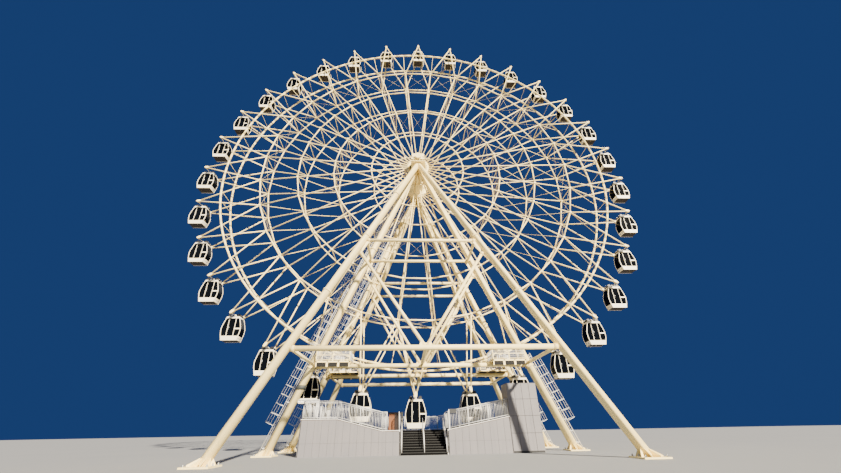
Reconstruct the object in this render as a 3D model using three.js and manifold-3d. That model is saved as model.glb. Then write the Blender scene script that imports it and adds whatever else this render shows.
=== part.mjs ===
// Observation wheel with 32 hanging cabins, built as a scale model at 1:2 of the real structure.
// Units are millimetres, +Z is up, the wheel turns about the Y axis and the front is at -Y.
// The origin is on the ground under the middle of the hub.
import * as THREE from 'three'
import { mergeVertices } from 'three/addons/utils/BufferGeometryUtils.js'
import Module from 'manifold-3d'

const wasm = await Module()
wasm.setup()

// Driving dimensions. Lengths are written in metres of the real wheel,
// and m() turns them to millimetres of the model.
const modelScale = 0.5
const m = (metres) => metres * 1000 * modelScale
const gap = 0.3
const weldDistance = 0.001
const farAway = m(40)

const cabinCount = 32
const restTurn = THREE.MathUtils.degToRad(1.1)
const hubHeight = m(35.1)

// Wheel frame: radius and half spacing of the front and back frames at each ring
const tipRing = { radius: m(30.0), half: m(1.4) }
const rimRing = { radius: m(27.06), width: m(0.36) }
const secondRing = { radius: m(21.98), half: m(1.56), width: m(0.24) }
const thirdRing = { radius: m(16.83), width: m(0.24) }
const fourthRing = { radius: m(11.79), width: m(0.22) }
const fifthRing = { radius: m(6.51), width: m(0.2) }
const hubRing = { radius: m(1.35), half: m(2.55), width: m(0.5) }
const armWidth = m(0.22)
const spokeWidth = m(0.2)
const frameDepth = m(0.2)
const tipReach = m(0.16)
const axleSeat = m(0.0012)
const latticeBore = hubRing.radius + hubRing.width / 2 - m(0.04)
const flangeLap = m(0.02)

// Hub and its bearings
const drumRadius = m(1.0)
const flangeThick = m(0.16)
const flangeRadius = hubRing.radius + hubRing.width / 2 - m(0.06)
const flangeSides = 24
const shaftRadius = m(0.45)
const shaftEnd = m(5.0)
const shaftSides = 16
const bearingGap = m(0.0012)
const head = { halfWidth: m(0.95), inner: m(2.8), outer: m(4.75), above: m(0.75), below: m(0.8) }

// Legs: the outer pair leans out along Y, the inner pair stands nearly upright beside the wheel.
// A left and a right leg meet just under the bearing head, where their tubes are mitred.
const outerLeg = {
  radius: m(0.345),
  startX: m(-0.33),
  spreadX: 0.4215,
  startY: m(3.8),
  spreadY: 0.299,
  sides: 12,
}
const innerLeg = {
  radius: m(0.37),
  startX: m(-0.18),
  spreadX: 0.4145,
  startY: m(3.25),
  spreadY: 0.01,
  sides: 12,
}
const footPlate = { side: m(1.8), thick: m(0.1) }
const tieSides = 6
const upperTieDrop = m(15.23)
const lowerTieDrop = m(27.25)
const braceDrop = m(16.4)
const upperTieRadius = m(0.17)
const lowerTieRadius = m(0.22)
const braceRadius = m(0.15)
const gussetShare = 0.12
const gussetInward = m(1.0)
const gussetHalf = m(0.1)
const strutInward = m(0.4)

// Cabin: outline in its X-Z plane, measured from the axle that it hangs on
const cabin = {
  outline: [
    [0.7, -0.24],
    [1.12, -1.62],
    [0.86, -2.98],
  ],
  halfDepth: m(0.62),
  wall: m(0.07),
  windowTop: m(-0.5),
  windowBottom: m(-2.35),
  windowHalfWidth: m(0.64),
  axleHalf: m(0.07),
  hangerHalfX: m(0.2),
  hangerHalfY: m(0.34),
}

// Boarding deck: low beside the stair, raised at its left end and sloping up to its right end,
// with a channel that the cabins pass through
const deck = {
  left: m(-10.9),
  right: m(7.8),
  leftSlope: { low: m(-3.7), high: m(-7.7) },
  rightSlope: { low: m(2.2), high: m(7.8) },
  lowTop: m(1.95),
  highTop: m(2.95),
  front: m(6.0),
  channelHalf: m(0.95),
  wall: m(0.12),
  wallLap: m(0.05),
  endWallTop: m(2.4),
}
const stair = { halfWidth: m(2.1), steps: 10, run: m(2.9), clear: gap }
const rail = {
  height: m(1.5),
  postHalf: m(0.05),
  postSink: m(0.05),
  barHalf: m(0.035),
  setIn: m(0.1),
}
const cabinet = {
  left: deck.right + gap,
  right: m(10.6),
  front: m(6.0),
  back: m(4.0),
  top: m(5.75),
  plinth: m(0.15),
  plinthLap: m(0.01),
  plinthSetIn: m(0.06),
}
const landing = { level: m(4.63), right: m(-10.0), half: m(0.12) }
const operator = {
  left: m(-3.2),
  right: m(-2.15),
  front: m(4.6),
  back: m(3.6),
  top: m(3.45),
  eaves: m(0.08),
  lid: m(0.12),
}
const drive = {
  near: m(7.2),
  far: m(10.55),
  inner: m(2.1),
  outer: m(4.6),
  slab: m(0.14),
  railHeight: m(1.1),
  motorNear: m(8.0),
  motorFar: m(9.4),
  motorInner: m(1.72),
  motorOuter: m(3.0),
  motorHeight: m(1.2),
}
const ladder = {
  inner: m(0.62),
  outer: m(1.64),
  stringerHalf: m(0.05),
  rungHalf: m(0.04),
  firstRung: m(0.3),
  rungStep: m(3.2),
  pastGround: m(0.3),
  bracketShares: [0.02, 0.35, 0.68, 0.95],
  leftTopDrop: m(3.4),
  rightTopDrop: m(26.4),
}

// Materials by finish
const cream = new THREE.MeshStandardMaterial({ color: 0xe9e2cc, roughness: 0.45, metalness: 0.1 })
const white = new THREE.MeshStandardMaterial({ color: 0xe6e8ea, roughness: 0.5, metalness: 0.1 })
const cladding = new THREE.MeshStandardMaterial({ color: 0xc9ccd2, roughness: 0.6, metalness: 0.1 })
const concrete = new THREE.MeshStandardMaterial({ color: 0x5b5a5c, roughness: 0.9, metalness: 0.0 })
const timber = new THREE.MeshStandardMaterial({ color: 0x7a5236, roughness: 0.7, metalness: 0.0 })
const ivory = new THREE.MeshStandardMaterial({ color: 0xece7d8, roughness: 0.4, metalness: 0.0 })

// Closed mesh to solid and back
function solid(geometry) {
  const bare = geometry.index ? geometry.toNonIndexed() : geometry.clone()
  bare.deleteAttribute('normal')
  bare.deleteAttribute('uv')
  const merged = mergeVertices(bare, weldDistance)
  const mesh = new wasm.Mesh({
    numProp: 3,
    vertProperties: new Float32Array(merged.attributes.position.array),
    triVerts: new Uint32Array(merged.index.array),
  })
  return new wasm.Manifold(mesh)
}

function geometryOf(body) {
  const mesh = body.getMesh()
  const geometry = new THREE.BufferGeometry()
  geometry.setAttribute('position', new THREE.BufferAttribute(mesh.vertProperties, 3))
  geometry.setIndex(new THREE.BufferAttribute(mesh.triVerts, 1))
  return geometry
}

function union(bodies) {
  return bodies.reduce((sum, body) => sum.add(body))
}

function block(low, high) {
  const size = high.map((value, axis) => value - low[axis])
  const geometry = new THREE.BoxGeometry(...size)
  geometry.translate(...low.map((value, axis) => value + size[axis] / 2))
  return solid(geometry)
}

// Round or square bar between two points; roll turns its section about its own length
function bar(start, end, radius, sides = 8, roll = 0) {
  const from = new THREE.Vector3(...start)
  const to = new THREE.Vector3(...end)
  const along = to.clone().sub(from)
  const geometry = new THREE.CylinderGeometry(radius, radius, along.length(), sides)
  geometry.rotateY(roll)
  const turn = new THREE.Quaternion().setFromUnitVectors(new THREE.Vector3(0, 1, 0), along.normalize())
  geometry.applyQuaternion(turn)
  geometry.translate(...from.add(to).multiplyScalar(0.5).toArray())
  return solid(geometry)
}

function squareBar(start, end, half) {
  return bar(start, end, half * Math.SQRT2, 4, Math.PI / 4)
}

// Outline in X-Z pushed along Y
function slabAlongY(points, lowY, highY) {
  const shape = new THREE.Shape(points.map(([x, z]) => new THREE.Vector2(x, z)))
  const geometry = new THREE.ExtrudeGeometry(shape, { depth: highY - lowY, bevelEnabled: false })
  geometry.rotateX(Math.PI / 2)
  geometry.translate(0, highY, 0)
  return solid(geometry)
}

const wheel = new THREE.Group()
wheel.position.z = hubHeight
const ferrisWheel = new THREE.Group()
ferrisWheel.add(wheel)

function place(name, shape, material, parent = ferrisWheel, position = [0, 0, 0]) {
  const geometry = shape.isBufferGeometry ? shape : geometryOf(shape)
  const mesh = new THREE.Mesh(geometry, material)
  mesh.name = name
  mesh.position.set(...position)
  parent.add(mesh)
}

// Wheel frame: one flat lattice drawn in X-Z and then dished outwards towards the hub

function angleOf(index) {
  return restTurn + (index * 2 * Math.PI) / cabinCount
}

function onWheel(index, radius) {
  return new THREE.Vector2(radius * Math.sin(angleOf(index)), radius * Math.cos(angleOf(index)))
}

function halfSpacing(radius) {
  if (radius < latticeBore + flangeLap / 2) return hubRing.half
  const outerPart = radius > secondRing.radius
  const low = outerPart ? secondRing : hubRing
  const high = outerPart ? tipRing : secondRing
  const share = (radius - low.radius) / (high.radius - low.radius)
  return THREE.MathUtils.lerp(low.half, high.half, Math.min(share, 1))
}

// Where a wheel arm from tip to second ring crosses the rim, found by halving the arm
function rimCrossing(index, side) {
  const halvings = 40
  const tip = onWheel(index, tipRing.radius)
  const node = onWheel(index + side / 2, secondRing.radius)
  let low = 0
  let high = 1
  for (let step = 0; step < halvings; step++) {
    const middle = (low + high) / 2
    if (tip.clone().lerp(node, middle).length() > rimRing.radius) low = middle
    else high = middle
  }
  return tip.clone().lerp(node, low)
}

// Polygon whose edges are moved inwards, each by its own distance
function inset(points, distances) {
  const count = points.length
  const area = points.reduce((sum, point, i) => sum + point.cross(points[(i + 1) % count]), 0)
  const turn = Math.sign(area)
  const lines = points.map((point, i) => {
    const along = points[(i + 1) % count].clone().sub(point).normalize()
    const inward = new THREE.Vector2(-along.y, along.x).multiplyScalar(turn * distances[i])
    return { point: point.clone().add(inward), along }
  })
  return lines.map((line, i) => {
    const before = lines[(i + count - 1) % count]
    const offset = line.point.clone().sub(before.point)
    const reach = offset.cross(line.along) / before.along.cross(line.along)
    return before.point.clone().addScaledVector(before.along, reach)
  })
}

function latticeCells(index) {
  const tip = onWheel(index, tipRing.radius)
  const crossLeft = rimCrossing(index, -1)
  const crossRight = rimCrossing(index, 1)
  const nextLeft = rimCrossing(index + 1, -1)
  const arm = armWidth / 2
  const rim = rimRing.width / 2
  const ringTwo = secondRing.width / 2
  const cells = [
    inset([tip, crossRight, crossLeft], [arm, rim, arm]),
    inset([crossLeft, crossRight, onWheel(index + 0.5, secondRing.radius),
      onWheel(index - 0.5, secondRing.radius)], [rim, arm, ringTwo, arm]),
    inset([crossRight, nextLeft, onWheel(index + 0.5, secondRing.radius)], [rim, arm, arm]),
  ]
  const rings = [secondRing, thirdRing, fourthRing, fifthRing, hubRing]
  for (let i = 0; i + 1 < rings.length; i++) {
    const [outer, inner] = [rings[i], rings[i + 1]]
    const corners = [onWheel(index - 0.5, outer.radius), onWheel(index + 0.5, outer.radius),
      onWheel(index + 0.5, inner.radius), onWheel(index - 0.5, inner.radius)]
    cells.push(inset(corners, [outer.width / 2, spokeWidth / 2, inner.width / 2, spokeWidth / 2]))
  }
  return cells
}

// Outer edge of the lattice at one tip: in along one side of the tip and out along the other
function tipEdge(index) {
  const tip = onWheel(index, tipRing.radius)
  const outwards = tip.clone().normalize()
  const sideways = new THREE.Vector2(outwards.y, -outwards.x)
  const widen = armWidth / 2
  const rimOut = rimRing.width / 2
  const corner = (side) => {
    const cross = rimCrossing(index, side)
    const next = rimCrossing(index + side, -side)
    const pastTip = tip.clone().lerp(cross, -0.5)
    return inset([pastTip, cross, next], [widen, rimOut, 0])[1]
  }
  const cap = (side) => {
    const end = tip.clone().addScaledVector(outwards, tipReach)
    return end.addScaledVector(sideways, side * widen)
  }
  return [corner(-1), cap(-1), cap(1), corner(1)]
}

// Flat ring at the middle of each frame, bolted to the hub flange
function flangeRing(side) {
  const ends = [-1, 1].map((end) => [0, side * hubRing.half + (end * frameDepth) / 2, 0])
  const bore = hubRing.radius - hubRing.width / 2
  const hole = bar([0, -farAway, 0], [0, farAway, 0], bore, cabinCount)
  return bar(...ends, latticeBore + flangeLap, cabinCount).subtract(hole)
}

function frameGeometry(side) {
  const indices = [...Array(cabinCount).keys()]
  const shape = new THREE.Shape(indices.flatMap(tipEdge).reverse())
  shape.holes = indices.flatMap(latticeCells).map((cell) => new THREE.Path(cell))
  shape.holes.push(new THREE.Path(indices.map((index) => onWheel(index + 0.5, latticeBore))))
  const geometry = new THREE.ExtrudeGeometry(shape, { depth: frameDepth, bevelEnabled: false })
  geometry.rotateX(Math.PI / 2)
  geometry.translate(0, frameDepth / 2, 0)
  const position = geometry.attributes.position
  for (let i = 0; i < position.count; i++) {
    const radius = Math.hypot(position.getX(i), position.getZ(i))
    position.setY(i, position.getY(i) + side * halfSpacing(radius))
  }
  return geometryOf(solid(geometry).add(flangeRing(side)))
}

place('wheel_front_frame', frameGeometry(-1), cream, wheel)
place('wheel_back_frame', frameGeometry(1), cream, wheel)

// Hub: drum, two flanges that the frames bolt to, and the shaft through the bearings
const flangeFace = hubRing.half - frameDepth / 2 - gap
const hub = union([
  bar([0, -flangeFace, 0], [0, flangeFace, 0], drumRadius, shaftSides),
  bar([0, -shaftEnd, 0], [0, shaftEnd, 0], shaftRadius, shaftSides),
  bar([0, -flangeFace, 0], [0, flangeThick - flangeFace, 0], flangeRadius, flangeSides),
  bar([0, flangeFace - flangeThick, 0], [0, flangeFace, 0], flangeRadius, flangeSides),
])
place('hub', hub, cream, wheel)

// Cabins: barrel-sided shells, open at the front and back windows, each hanging on its own axle
function cabinShell() {
  const half = cabin.outline.map(([x, z]) => [m(x), m(z)])
  const outline = [...half, ...half.map(([x, z]) => [-x, z]).reverse()]
  const corners = outline.map(([x, z]) => new THREE.Vector2(x, z))
  const inner = inset(corners, corners.map(() => cabin.wall)).map((point) => [point.x, point.y])
  const depth = cabin.halfDepth
  const shell = slabAlongY(outline, -depth, depth).subtract(
    slabAlongY(inner, cabin.wall - depth, depth - cabin.wall),
  )
  const { windowHalfWidth, windowTop, windowBottom, axleHalf } = cabin
  const doors = block([-windowHalfWidth, -farAway, windowBottom], [windowHalfWidth, farAway, windowTop])
  const axleReach = tipRing.half - frameDepth / 2 - gap + axleSeat
  const axle = block([-axleHalf, -axleReach, -axleHalf], [axleHalf, axleReach, axleHalf])
  const roof = half[0][1] - cabin.wall / 2
  const hanger = block([-cabin.hangerHalfX, -cabin.hangerHalfY, roof],
    [cabin.hangerHalfX, cabin.hangerHalfY, cabin.axleHalf])
  return geometryOf(union([shell.subtract(doors), axle, hanger]))
}

const cabinGeometry = cabinShell()
for (let index = 0; index < cabinCount; index++) {
  const tip = onWheel(index, tipRing.radius)
  const name = `cabin_${String(index + 1).padStart(2, '0')}`
  place(name, cabinGeometry, ivory, wheel, [tip.x, 0, tip.y])
}

// Supports

function legPoint(leg, sideX, sideY, drop) {
  return [
    sideX * (leg.startX + leg.spreadX * drop),
    sideY * (leg.startY + leg.spreadY * drop),
    hubHeight - drop,
  ]
}

function legTube(leg, sideX, sideY, grow = 0) {
  const top = legPoint(leg, sideX, sideY, 0)
  const bottom = legPoint(leg, sideX, sideY, hubHeight + leg.radius)
  return bar(top, bottom, leg.radius + grow, leg.sides, Math.PI / leg.sides)
}

function headBlock(side, grow = 0) {
  const ys = [side * head.inner, side * head.outer].sort((a, b) => a - b)
  return block([-head.halfWidth - grow, ys[0] - grow, hubHeight - head.below - grow],
    [head.halfWidth + grow, ys[1] + grow, hubHeight + head.above + grow])
}

// Everything under a level, to cut the lower ends flat
function below(level) {
  return block([-farAway, -farAway, -farAway], [farAway, farAway, level])
}

// Everything on the other side of the middle plane, to mitre the left and right tubes
function acrossMiddle(sideX) {
  const xs = [-sideX * farAway, (sideX * gap) / 2].sort((a, b) => a - b)
  return block([xs[0], -farAway, -farAway], [xs[1], farAway, farAway])
}

const sidesOfWheel = [['front', -1], ['back', 1]]
const sidesOfLeg = [['left', -1], ['right', 1]]
const kindsOfLeg = [['outer', outerLeg], ['inner', innerLeg]]

const halfFacet = Math.PI / shaftSides
const boreRadius = (shaftRadius + bearingGap) / Math.cos(halfFacet)
for (const [face, sideY] of sidesOfWheel) {
  const boreEnds = [head.inner / 2, head.outer * 2].map((y) => [0, sideY * y, hubHeight])
  const bore = bar(...boreEnds, boreRadius, shaftSides, halfFacet)
  place(`${face}_bearing_head`, headBlock(sideY).subtract(bore), cream)
  for (const [hand, sideX] of sidesOfLeg) {
    for (const [kind, leg] of kindsOfLeg) {
      const [footX, footY] = legPoint(leg, sideX, sideY, hubHeight)
      const half = footPlate.side / 2
      const plate = block([footX - half, footY - half, 0], [footX + half, footY + half, footPlate.thick])
      const cuts = union([headBlock(sideY, gap), below(0), acrossMiddle(sideX)])
      const tube = legTube(leg, sideX, sideY).subtract(cuts)
      place(`${face}_${kind}_leg_${hand}`, tube.add(plate), cream)
    }
  }
}

// Strut from an outer tie to the inner tie behind it, just inside the legs
function strut(sideX, sideY, drop) {
  const ends = [outerLeg, innerLeg].map((leg) => {
    const [x, y, z] = legPoint(leg, sideX, sideY, drop)
    return [x - sideX * strutInward, y, z]
  })
  return bar(...ends, braceRadius, tieSides)
}

// Ties and V braces of one pair of legs, thickened by grow when they are used to cut
function crossFrame(leg, sideY, isOuter, grow = 0) {
  const at = (sideX, drop) => legPoint(leg, sideX, sideY, drop)
  const middle = at(0, lowerTieDrop)
  const bars = [
    bar(at(-1, upperTieDrop), at(1, upperTieDrop), upperTieRadius + grow, tieSides),
    bar(at(-1, lowerTieDrop), at(1, lowerTieDrop), lowerTieRadius + grow, tieSides),
  ]
  for (const sideX of [-1, 1]) {
    bars.push(bar(at(sideX, braceDrop), middle, braceRadius + grow, tieSides))
    // Gusset that joins the tie end and the brace end beside the leg
    const [tieX, tieY, tieZ] = at(sideX, upperTieDrop)
    const braceTop = new THREE.Vector3(...at(sideX, braceDrop))
    const onBrace = braceTop.lerp(new THREE.Vector3(...middle), gussetShare)
    bars.push(squareBar([tieX - sideX * gussetInward, tieY, tieZ], onBrace.toArray(), gussetHalf + grow))
    if (isOuter) bars.push(strut(sideX, sideY, upperTieDrop), strut(sideX, sideY, lowerTieDrop))
  }
  if (isOuter) bars.push(strut(0, sideY, lowerTieDrop))
  return union(bars)
}

for (const [face, sideY] of sidesOfWheel) {
  const tubes = []
  for (const [, sideX] of sidesOfLeg) {
    for (const [, leg] of kindsOfLeg) tubes.push(legTube(leg, sideX, sideY, gap))
  }
  const legs = union(tubes)
  const inner = crossFrame(innerLeg, sideY, false).subtract(legs)
  const innerCut = crossFrame(innerLeg, sideY, false, gap * 2)
  const outer = crossFrame(outerLeg, sideY, true).subtract(legs).subtract(innerCut)
  place(`${face}_inner_bracing`, inner, cream)
  place(`${face}_outer_bracing`, outer, cream)
}

// Friction drives: a railed stand on each end of the inner lower ties, from the leg in to the rim
const standTop = hubHeight - lowerTieDrop + lowerTieRadius + gap + drive.slab

function driveStand(sideX, sideY) {
  const box = (near, far, inner, outer, low, high) => {
    const xs = [sideX * near, sideX * far].sort((a, b) => a - b)
    const ys = [sideY * inner, sideY * outer].sort((a, b) => a - b)
    return block([xs[0], ys[0], low], [xs[1], ys[1], high])
  }
  const { near, far, inner, outer, railHeight, motorNear, motorFar, motorInner, motorOuter } = drive
  const post = rail.postHalf * 2
  const railTop = standTop + railHeight
  const railLow = railTop - rail.barHalf * 2
  const pieces = [
    box(near, far, inner, outer, standTop - drive.slab, standTop),
    box(motorNear, motorFar, motorInner, motorOuter, standTop, standTop + drive.motorHeight),
    box(near, near + post, outer - post, outer, standTop, railTop),
    box(far - post, far, outer - post, outer, standTop, railTop),
    box(near, near + post, inner, inner + post, standTop, railTop),
    box(far - post, far, inner, inner + post, standTop, railTop),
    box(near, far, outer - post, outer, railLow, railTop),
    box(near, near + post, inner, outer, railLow, railTop),
    box(far - post, far, inner, outer, railLow, railTop),
  ]
  return union(pieces).subtract(legTube(innerLeg, sideX, sideY, gap))
}

for (const [face, sideY] of sidesOfWheel) {
  for (const [hand, sideX] of sidesOfLeg) {
    place(`${face}_${hand}_drive`, driveStand(sideX, sideY), cream)
  }
}

// Boarding deck: two halves clad in sheet, tied by low end walls, with a guard rail round the edge
function deckProfile() {
  const { left, right, leftSlope, rightSlope, lowTop, highTop } = deck
  return [
    [left, 0],
    [left, highTop],
    [leftSlope.high, highTop],
    [leftSlope.low, lowTop],
    [rightSlope.low, lowTop],
    [right, highTop],
    [right, 0],
  ]
}

function deckHeight(x) {
  const slope = x < 0 ? deck.leftSlope : deck.rightSlope
  const share = (x - slope.low) / (slope.high - slope.low)
  return THREE.MathUtils.lerp(deck.lowTop, deck.highTop, THREE.MathUtils.clamp(share, 0, 1))
}

function halfDeck(sideY) {
  const ys = [sideY * deck.channelHalf, sideY * deck.front].sort((a, b) => a - b)
  return slabAlongY(deckProfile(), ...ys)
}

// Guard rail along the deck edge through the listed places, standing on the deck
function guardRail(places, y) {
  const { postHalf, postSink, height } = rail
  const posts = places.map((x) => block([x - postHalf, y - postHalf, deckHeight(x) - postSink],
    [x + postHalf, y + postHalf, deckHeight(x) + height]))
  const bars = places.slice(1).map((x, i) => {
    const start = [places[i], y, deckHeight(places[i]) + rail.height - rail.barHalf]
    return squareBar(start, [x, y, deckHeight(x) + rail.height - rail.barHalf], rail.barHalf)
  })
  return union([...posts, ...bars])
}

const railFrom = deck.left + rail.setIn
const railTo = deck.right - rail.setIn
const stairEdge = stair.halfWidth + rail.setIn + stair.clear
const { leftSlope } = deck
const halfway = (start, end) => (start + end) / 2
const leftPlaces = [railFrom, halfway(railFrom, leftSlope.high), leftSlope.high, leftSlope.low, -stairEdge]
const rightPlaces = [stairEdge, halfway(stairEdge, railTo), railTo]
const railLine = deck.front - rail.setIn
const endWallHalf = deck.channelHalf + deck.wallLap
const endWall = (x) => block([x, -endWallHalf, 0], [x + deck.wall, endWallHalf, deck.endWallTop])
const stairHalf = stair.halfWidth + stair.clear
const stairNotch = block([-stairHalf, -farAway, -farAway],
  [stairHalf, stair.run + stair.clear - deck.front, farAway])
const deckBody = union([
  halfDeck(-1).subtract(stairNotch),
  halfDeck(1),
  endWall(deck.left),
  endWall(deck.right - deck.wall),
  guardRail(leftPlaces, -railLine),
  guardRail(rightPlaces, -railLine),
  guardRail([...leftPlaces, ...rightPlaces], railLine),
])
place('boarding_deck', deckBody, cladding)

// Stair: one flight of solid steps set into the front of the deck
function stairProfile() {
  const rise = deck.lowTop / stair.steps
  const going = stair.run / stair.steps
  const points = [[0, 0]]
  for (let step = 0; step < stair.steps; step++) {
    points.push([step * going, (step + 1) * rise])
    points.push([(step + 1) * going, (step + 1) * rise])
  }
  points.push([stair.run, 0])
  return points
}

const flight = new THREE.Shape(stairProfile().map(([y, z]) => new THREE.Vector2(y, z)))
const stairGeometry = new THREE.ExtrudeGeometry(flight, { depth: stair.halfWidth * 2, bevelEnabled: false })
stairGeometry.applyMatrix4(new THREE.Matrix4().makeBasis(
  new THREE.Vector3(0, 1, 0), new THREE.Vector3(0, 0, 1), new THREE.Vector3(1, 0, 0),
))
stairGeometry.translate(-stair.halfWidth, -deck.front, 0)
place('front_stair', geometryOf(solid(stairGeometry)), concrete)

// Tall equipment cabinet at the right end of the deck
const plinthInset = cabinet.plinthSetIn
const cabinetBody = union([
  block([cabinet.left, -cabinet.front, cabinet.plinth], [cabinet.right, -cabinet.back, cabinet.top]),
  block([cabinet.left + plinthInset, plinthInset - cabinet.front, 0],
    [cabinet.right - plinthInset, -cabinet.back - plinthInset, cabinet.plinth + cabinet.plinthLap]),
])
place('equipment_cabinet', cabinetBody, white)

// Beam from the front inner leg to a post that stands on the left end of the deck
const [beamX, beamY] = legPoint(innerLeg, -1, -1, hubHeight - landing.level)
const landingBeam = union([
  squareBar([beamX, beamY, landing.level], [landing.right, beamY, landing.level], landing.half),
  block([landing.right - landing.half * 2, beamY - landing.half, deck.highTop + gap],
    [landing.right, beamY + landing.half, landing.level + landing.half]),
])
place('side_landing_beam', landingBeam.subtract(legTube(innerLeg, -1, -1, gap)), white)

// Small wooden operator's cabinet on the deck beside the stair
const operatorBody = union([
  block([operator.left, -operator.front, deck.lowTop + gap],
    [operator.right, -operator.back, operator.top]),
  block([operator.left - operator.eaves, -operator.front - operator.eaves, operator.top - operator.lid],
    [operator.right + operator.eaves, operator.eaves - operator.back, operator.top]),
])
place('operator_cabinet', operatorBody, timber)

// Ladders beside the front inner legs, held off them by short brackets
function ladderBody(sideX, topDrop) {
  const beside = (distance, drop) => {
    const [x, y, z] = legPoint(innerLeg, sideX, -1, drop)
    return [x + sideX * distance, y, z]
  }
  const bottomDrop = hubHeight + ladder.pastGround
  const pieces = [ladder.inner, ladder.outer].map((distance) =>
    squareBar(beside(distance, topDrop), beside(distance, bottomDrop), ladder.stringerHalf))
  for (let drop = topDrop + ladder.firstRung; drop < hubHeight; drop += ladder.rungStep) {
    pieces.push(squareBar(beside(ladder.inner, drop), beside(ladder.outer, drop), ladder.rungHalf))
  }
  for (const share of ladder.bracketShares) {
    const drop = topDrop + share * (hubHeight - topDrop)
    pieces.push(squareBar(beside(0, drop), beside(ladder.inner, drop), ladder.rungHalf))
  }
  return union(pieces).subtract(legTube(innerLeg, sideX, -1, gap)).subtract(below(footPlate.thick + gap))
}

place('left_ladder', ladderBody(-1, ladder.leftTopDrop), white)
place('right_ladder', ladderBody(1, ladder.rightTopDrop), white)

export default ferrisWheel
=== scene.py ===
import math
from itertools import pairwise, product

import bmesh
import bpy
from mathutils import Matrix, Vector


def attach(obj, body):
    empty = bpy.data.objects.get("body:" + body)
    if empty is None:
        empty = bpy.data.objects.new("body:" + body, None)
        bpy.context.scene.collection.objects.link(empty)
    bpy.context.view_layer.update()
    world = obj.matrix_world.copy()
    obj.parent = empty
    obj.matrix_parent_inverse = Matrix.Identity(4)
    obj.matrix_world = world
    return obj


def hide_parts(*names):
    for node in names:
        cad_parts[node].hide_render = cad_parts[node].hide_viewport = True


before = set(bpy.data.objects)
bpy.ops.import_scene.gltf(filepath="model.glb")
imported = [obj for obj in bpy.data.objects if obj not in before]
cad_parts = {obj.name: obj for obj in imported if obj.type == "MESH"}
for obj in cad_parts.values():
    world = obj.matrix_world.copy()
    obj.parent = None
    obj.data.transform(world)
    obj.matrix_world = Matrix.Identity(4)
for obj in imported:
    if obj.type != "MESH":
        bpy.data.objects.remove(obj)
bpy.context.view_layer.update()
print("frame loaded")

modelScale = 0.5  # the model is half the size of the real wheel; all sizes below are real metres
up = Vector((0, 0, 1))
faceSides = ((-1, "front"), (1, "back"))
handSides = ((-1, "left"), (1, "right"))

# Sizes shared by several pieces
wheel = {
    "hubHeight": 35.1, "count": 32, "restTurn": 1.1,
    "tipRadius": 30.0, "tipHalf": 1.4, "rimRadius": 27.06,
    "rings": [21.98, 16.83, 11.79, 6.51], "secondHalf": 1.56,
    "hubRadius": 1.35, "hubHalf": 2.55,
}
hubHeight = wheel["hubHeight"]
hubCentre = (0, 0, hubHeight)
step = 2 * math.pi / wheel["count"]


def m(realMetres):
    return realMetres * modelScale


# Several sizes of one piece at once
def pick(sizes, names):
    return [sizes[name] for name in names.split()]


# Small helpers


def linear(hexColour):
    channels = [int(hexColour[i:i + 2], 16) / 255 for i in (1, 3, 5)]
    return tuple(c / 12.92 if c <= 0.04045 else ((c + 0.055) / 1.055) ** 2.4 for c in channels) + (1.0,)


# Sets inputs of a node: a socket is linked, a text is a colour, anything else is the value itself
def plug(tree, node, inputs):
    for name, value in inputs.items():
        if isinstance(value, bpy.types.NodeSocket):
            tree.links.new(value, node.inputs[name])
        else:
            node.inputs[name].default_value = linear(value) if isinstance(value, str) else value
    return node


def addNode(tree, kind, inputs=None, **settings):
    node = tree.nodes.new(kind)
    for name, value in settings.items():
        setattr(node, name, value)
    return plug(tree, node, inputs or {})


def newShape():
    return {"points": [], "faces": [], "slots": [], "smooth": []}


# Adds points in real metres and the faces between them; the flat faces are never shaded smooth
def addFaces(shape, points, faces, slot=0, smooth=False, flat=()):
    start = len(shape["points"])
    shape["points"] += [tuple(m(Vector(p))) for p in points]
    for group, soft in ((faces, smooth), (flat, False)):
        shape["faces"] += [[start + i for i in face] for face in group]
        shape["slots"] += [slot] * len(group)
        shape["smooth"] += [soft] * len(group)


# Rows of points one behind the other, joined by walls and closed at both ends
def addLoft(shape, rows, slot=0, smooth=False):
    count = len(rows[0])
    last = (len(rows) - 1) * count
    walls = [(start + i, start + (i + 1) % count, start + count + (i + 1) % count, start + count + i)
             for start in range(0, last, count) for i in range(count)]
    ends = [list(range(count))[::-1], list(range(last, last + count))]
    addFaces(shape, [p for row in rows for p in row], walls, slot, smooth, ends)


# Angles spread evenly round a full turn
def circle(count, first=0.0):
    return [first + 2 * math.pi * i / count for i in range(count)]


# Values spread evenly from the first to the last
def levels(first, last, parts=7):
    return [first + (last - first) * i / parts for i in range(parts + 1)]


# A profile of (radius, distance) turned about an axis
def addTurned(shape, centre, axis, profile, sides=24, slot=0, smooth=True):
    centre, along = Vector(centre), Vector(axis).normalized()
    across = along.cross(up if abs(along.z) < 0.9 else Vector((1, 0, 0))).normalized()
    third = along.cross(across)
    rows = [[centre + along * distance + (across * math.cos(a) + third * math.sin(a)) * radius
             for a in circle(sides)] for radius, distance in profile]
    addLoft(shape, rows, slot, smooth)


def addTube(shape, start, end, radius, sides=10, slot=0, smooth=True):
    along = Vector(end) - Vector(start)
    addTurned(shape, start, along, [(radius, 0.0), (radius, along.length)], sides, slot, smooth)


# An upright anchor bolt: a six-sided nut round the foot of its stud, each a (radius, height)
def addAnchor(shape, spot, nut, stud, sides):
    addTube(shape, spot, spot + up * nut[1], nut[0], 6, smooth=False)
    addTube(shape, spot, spot + up * stud[1], stud[0], sides)


# A box between two limits along each axis, in either order
def addBox(shape, xs, ys, zs, slot=0):
    walls = [(0, 1, 3, 2), (4, 6, 7, 5), (0, 4, 5, 1), (2, 3, 7, 6), (0, 2, 6, 4), (1, 5, 7, 3)]
    addFaces(shape, list(product(sorted(xs), sorted(ys), sorted(zs))), walls, slot)


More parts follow.
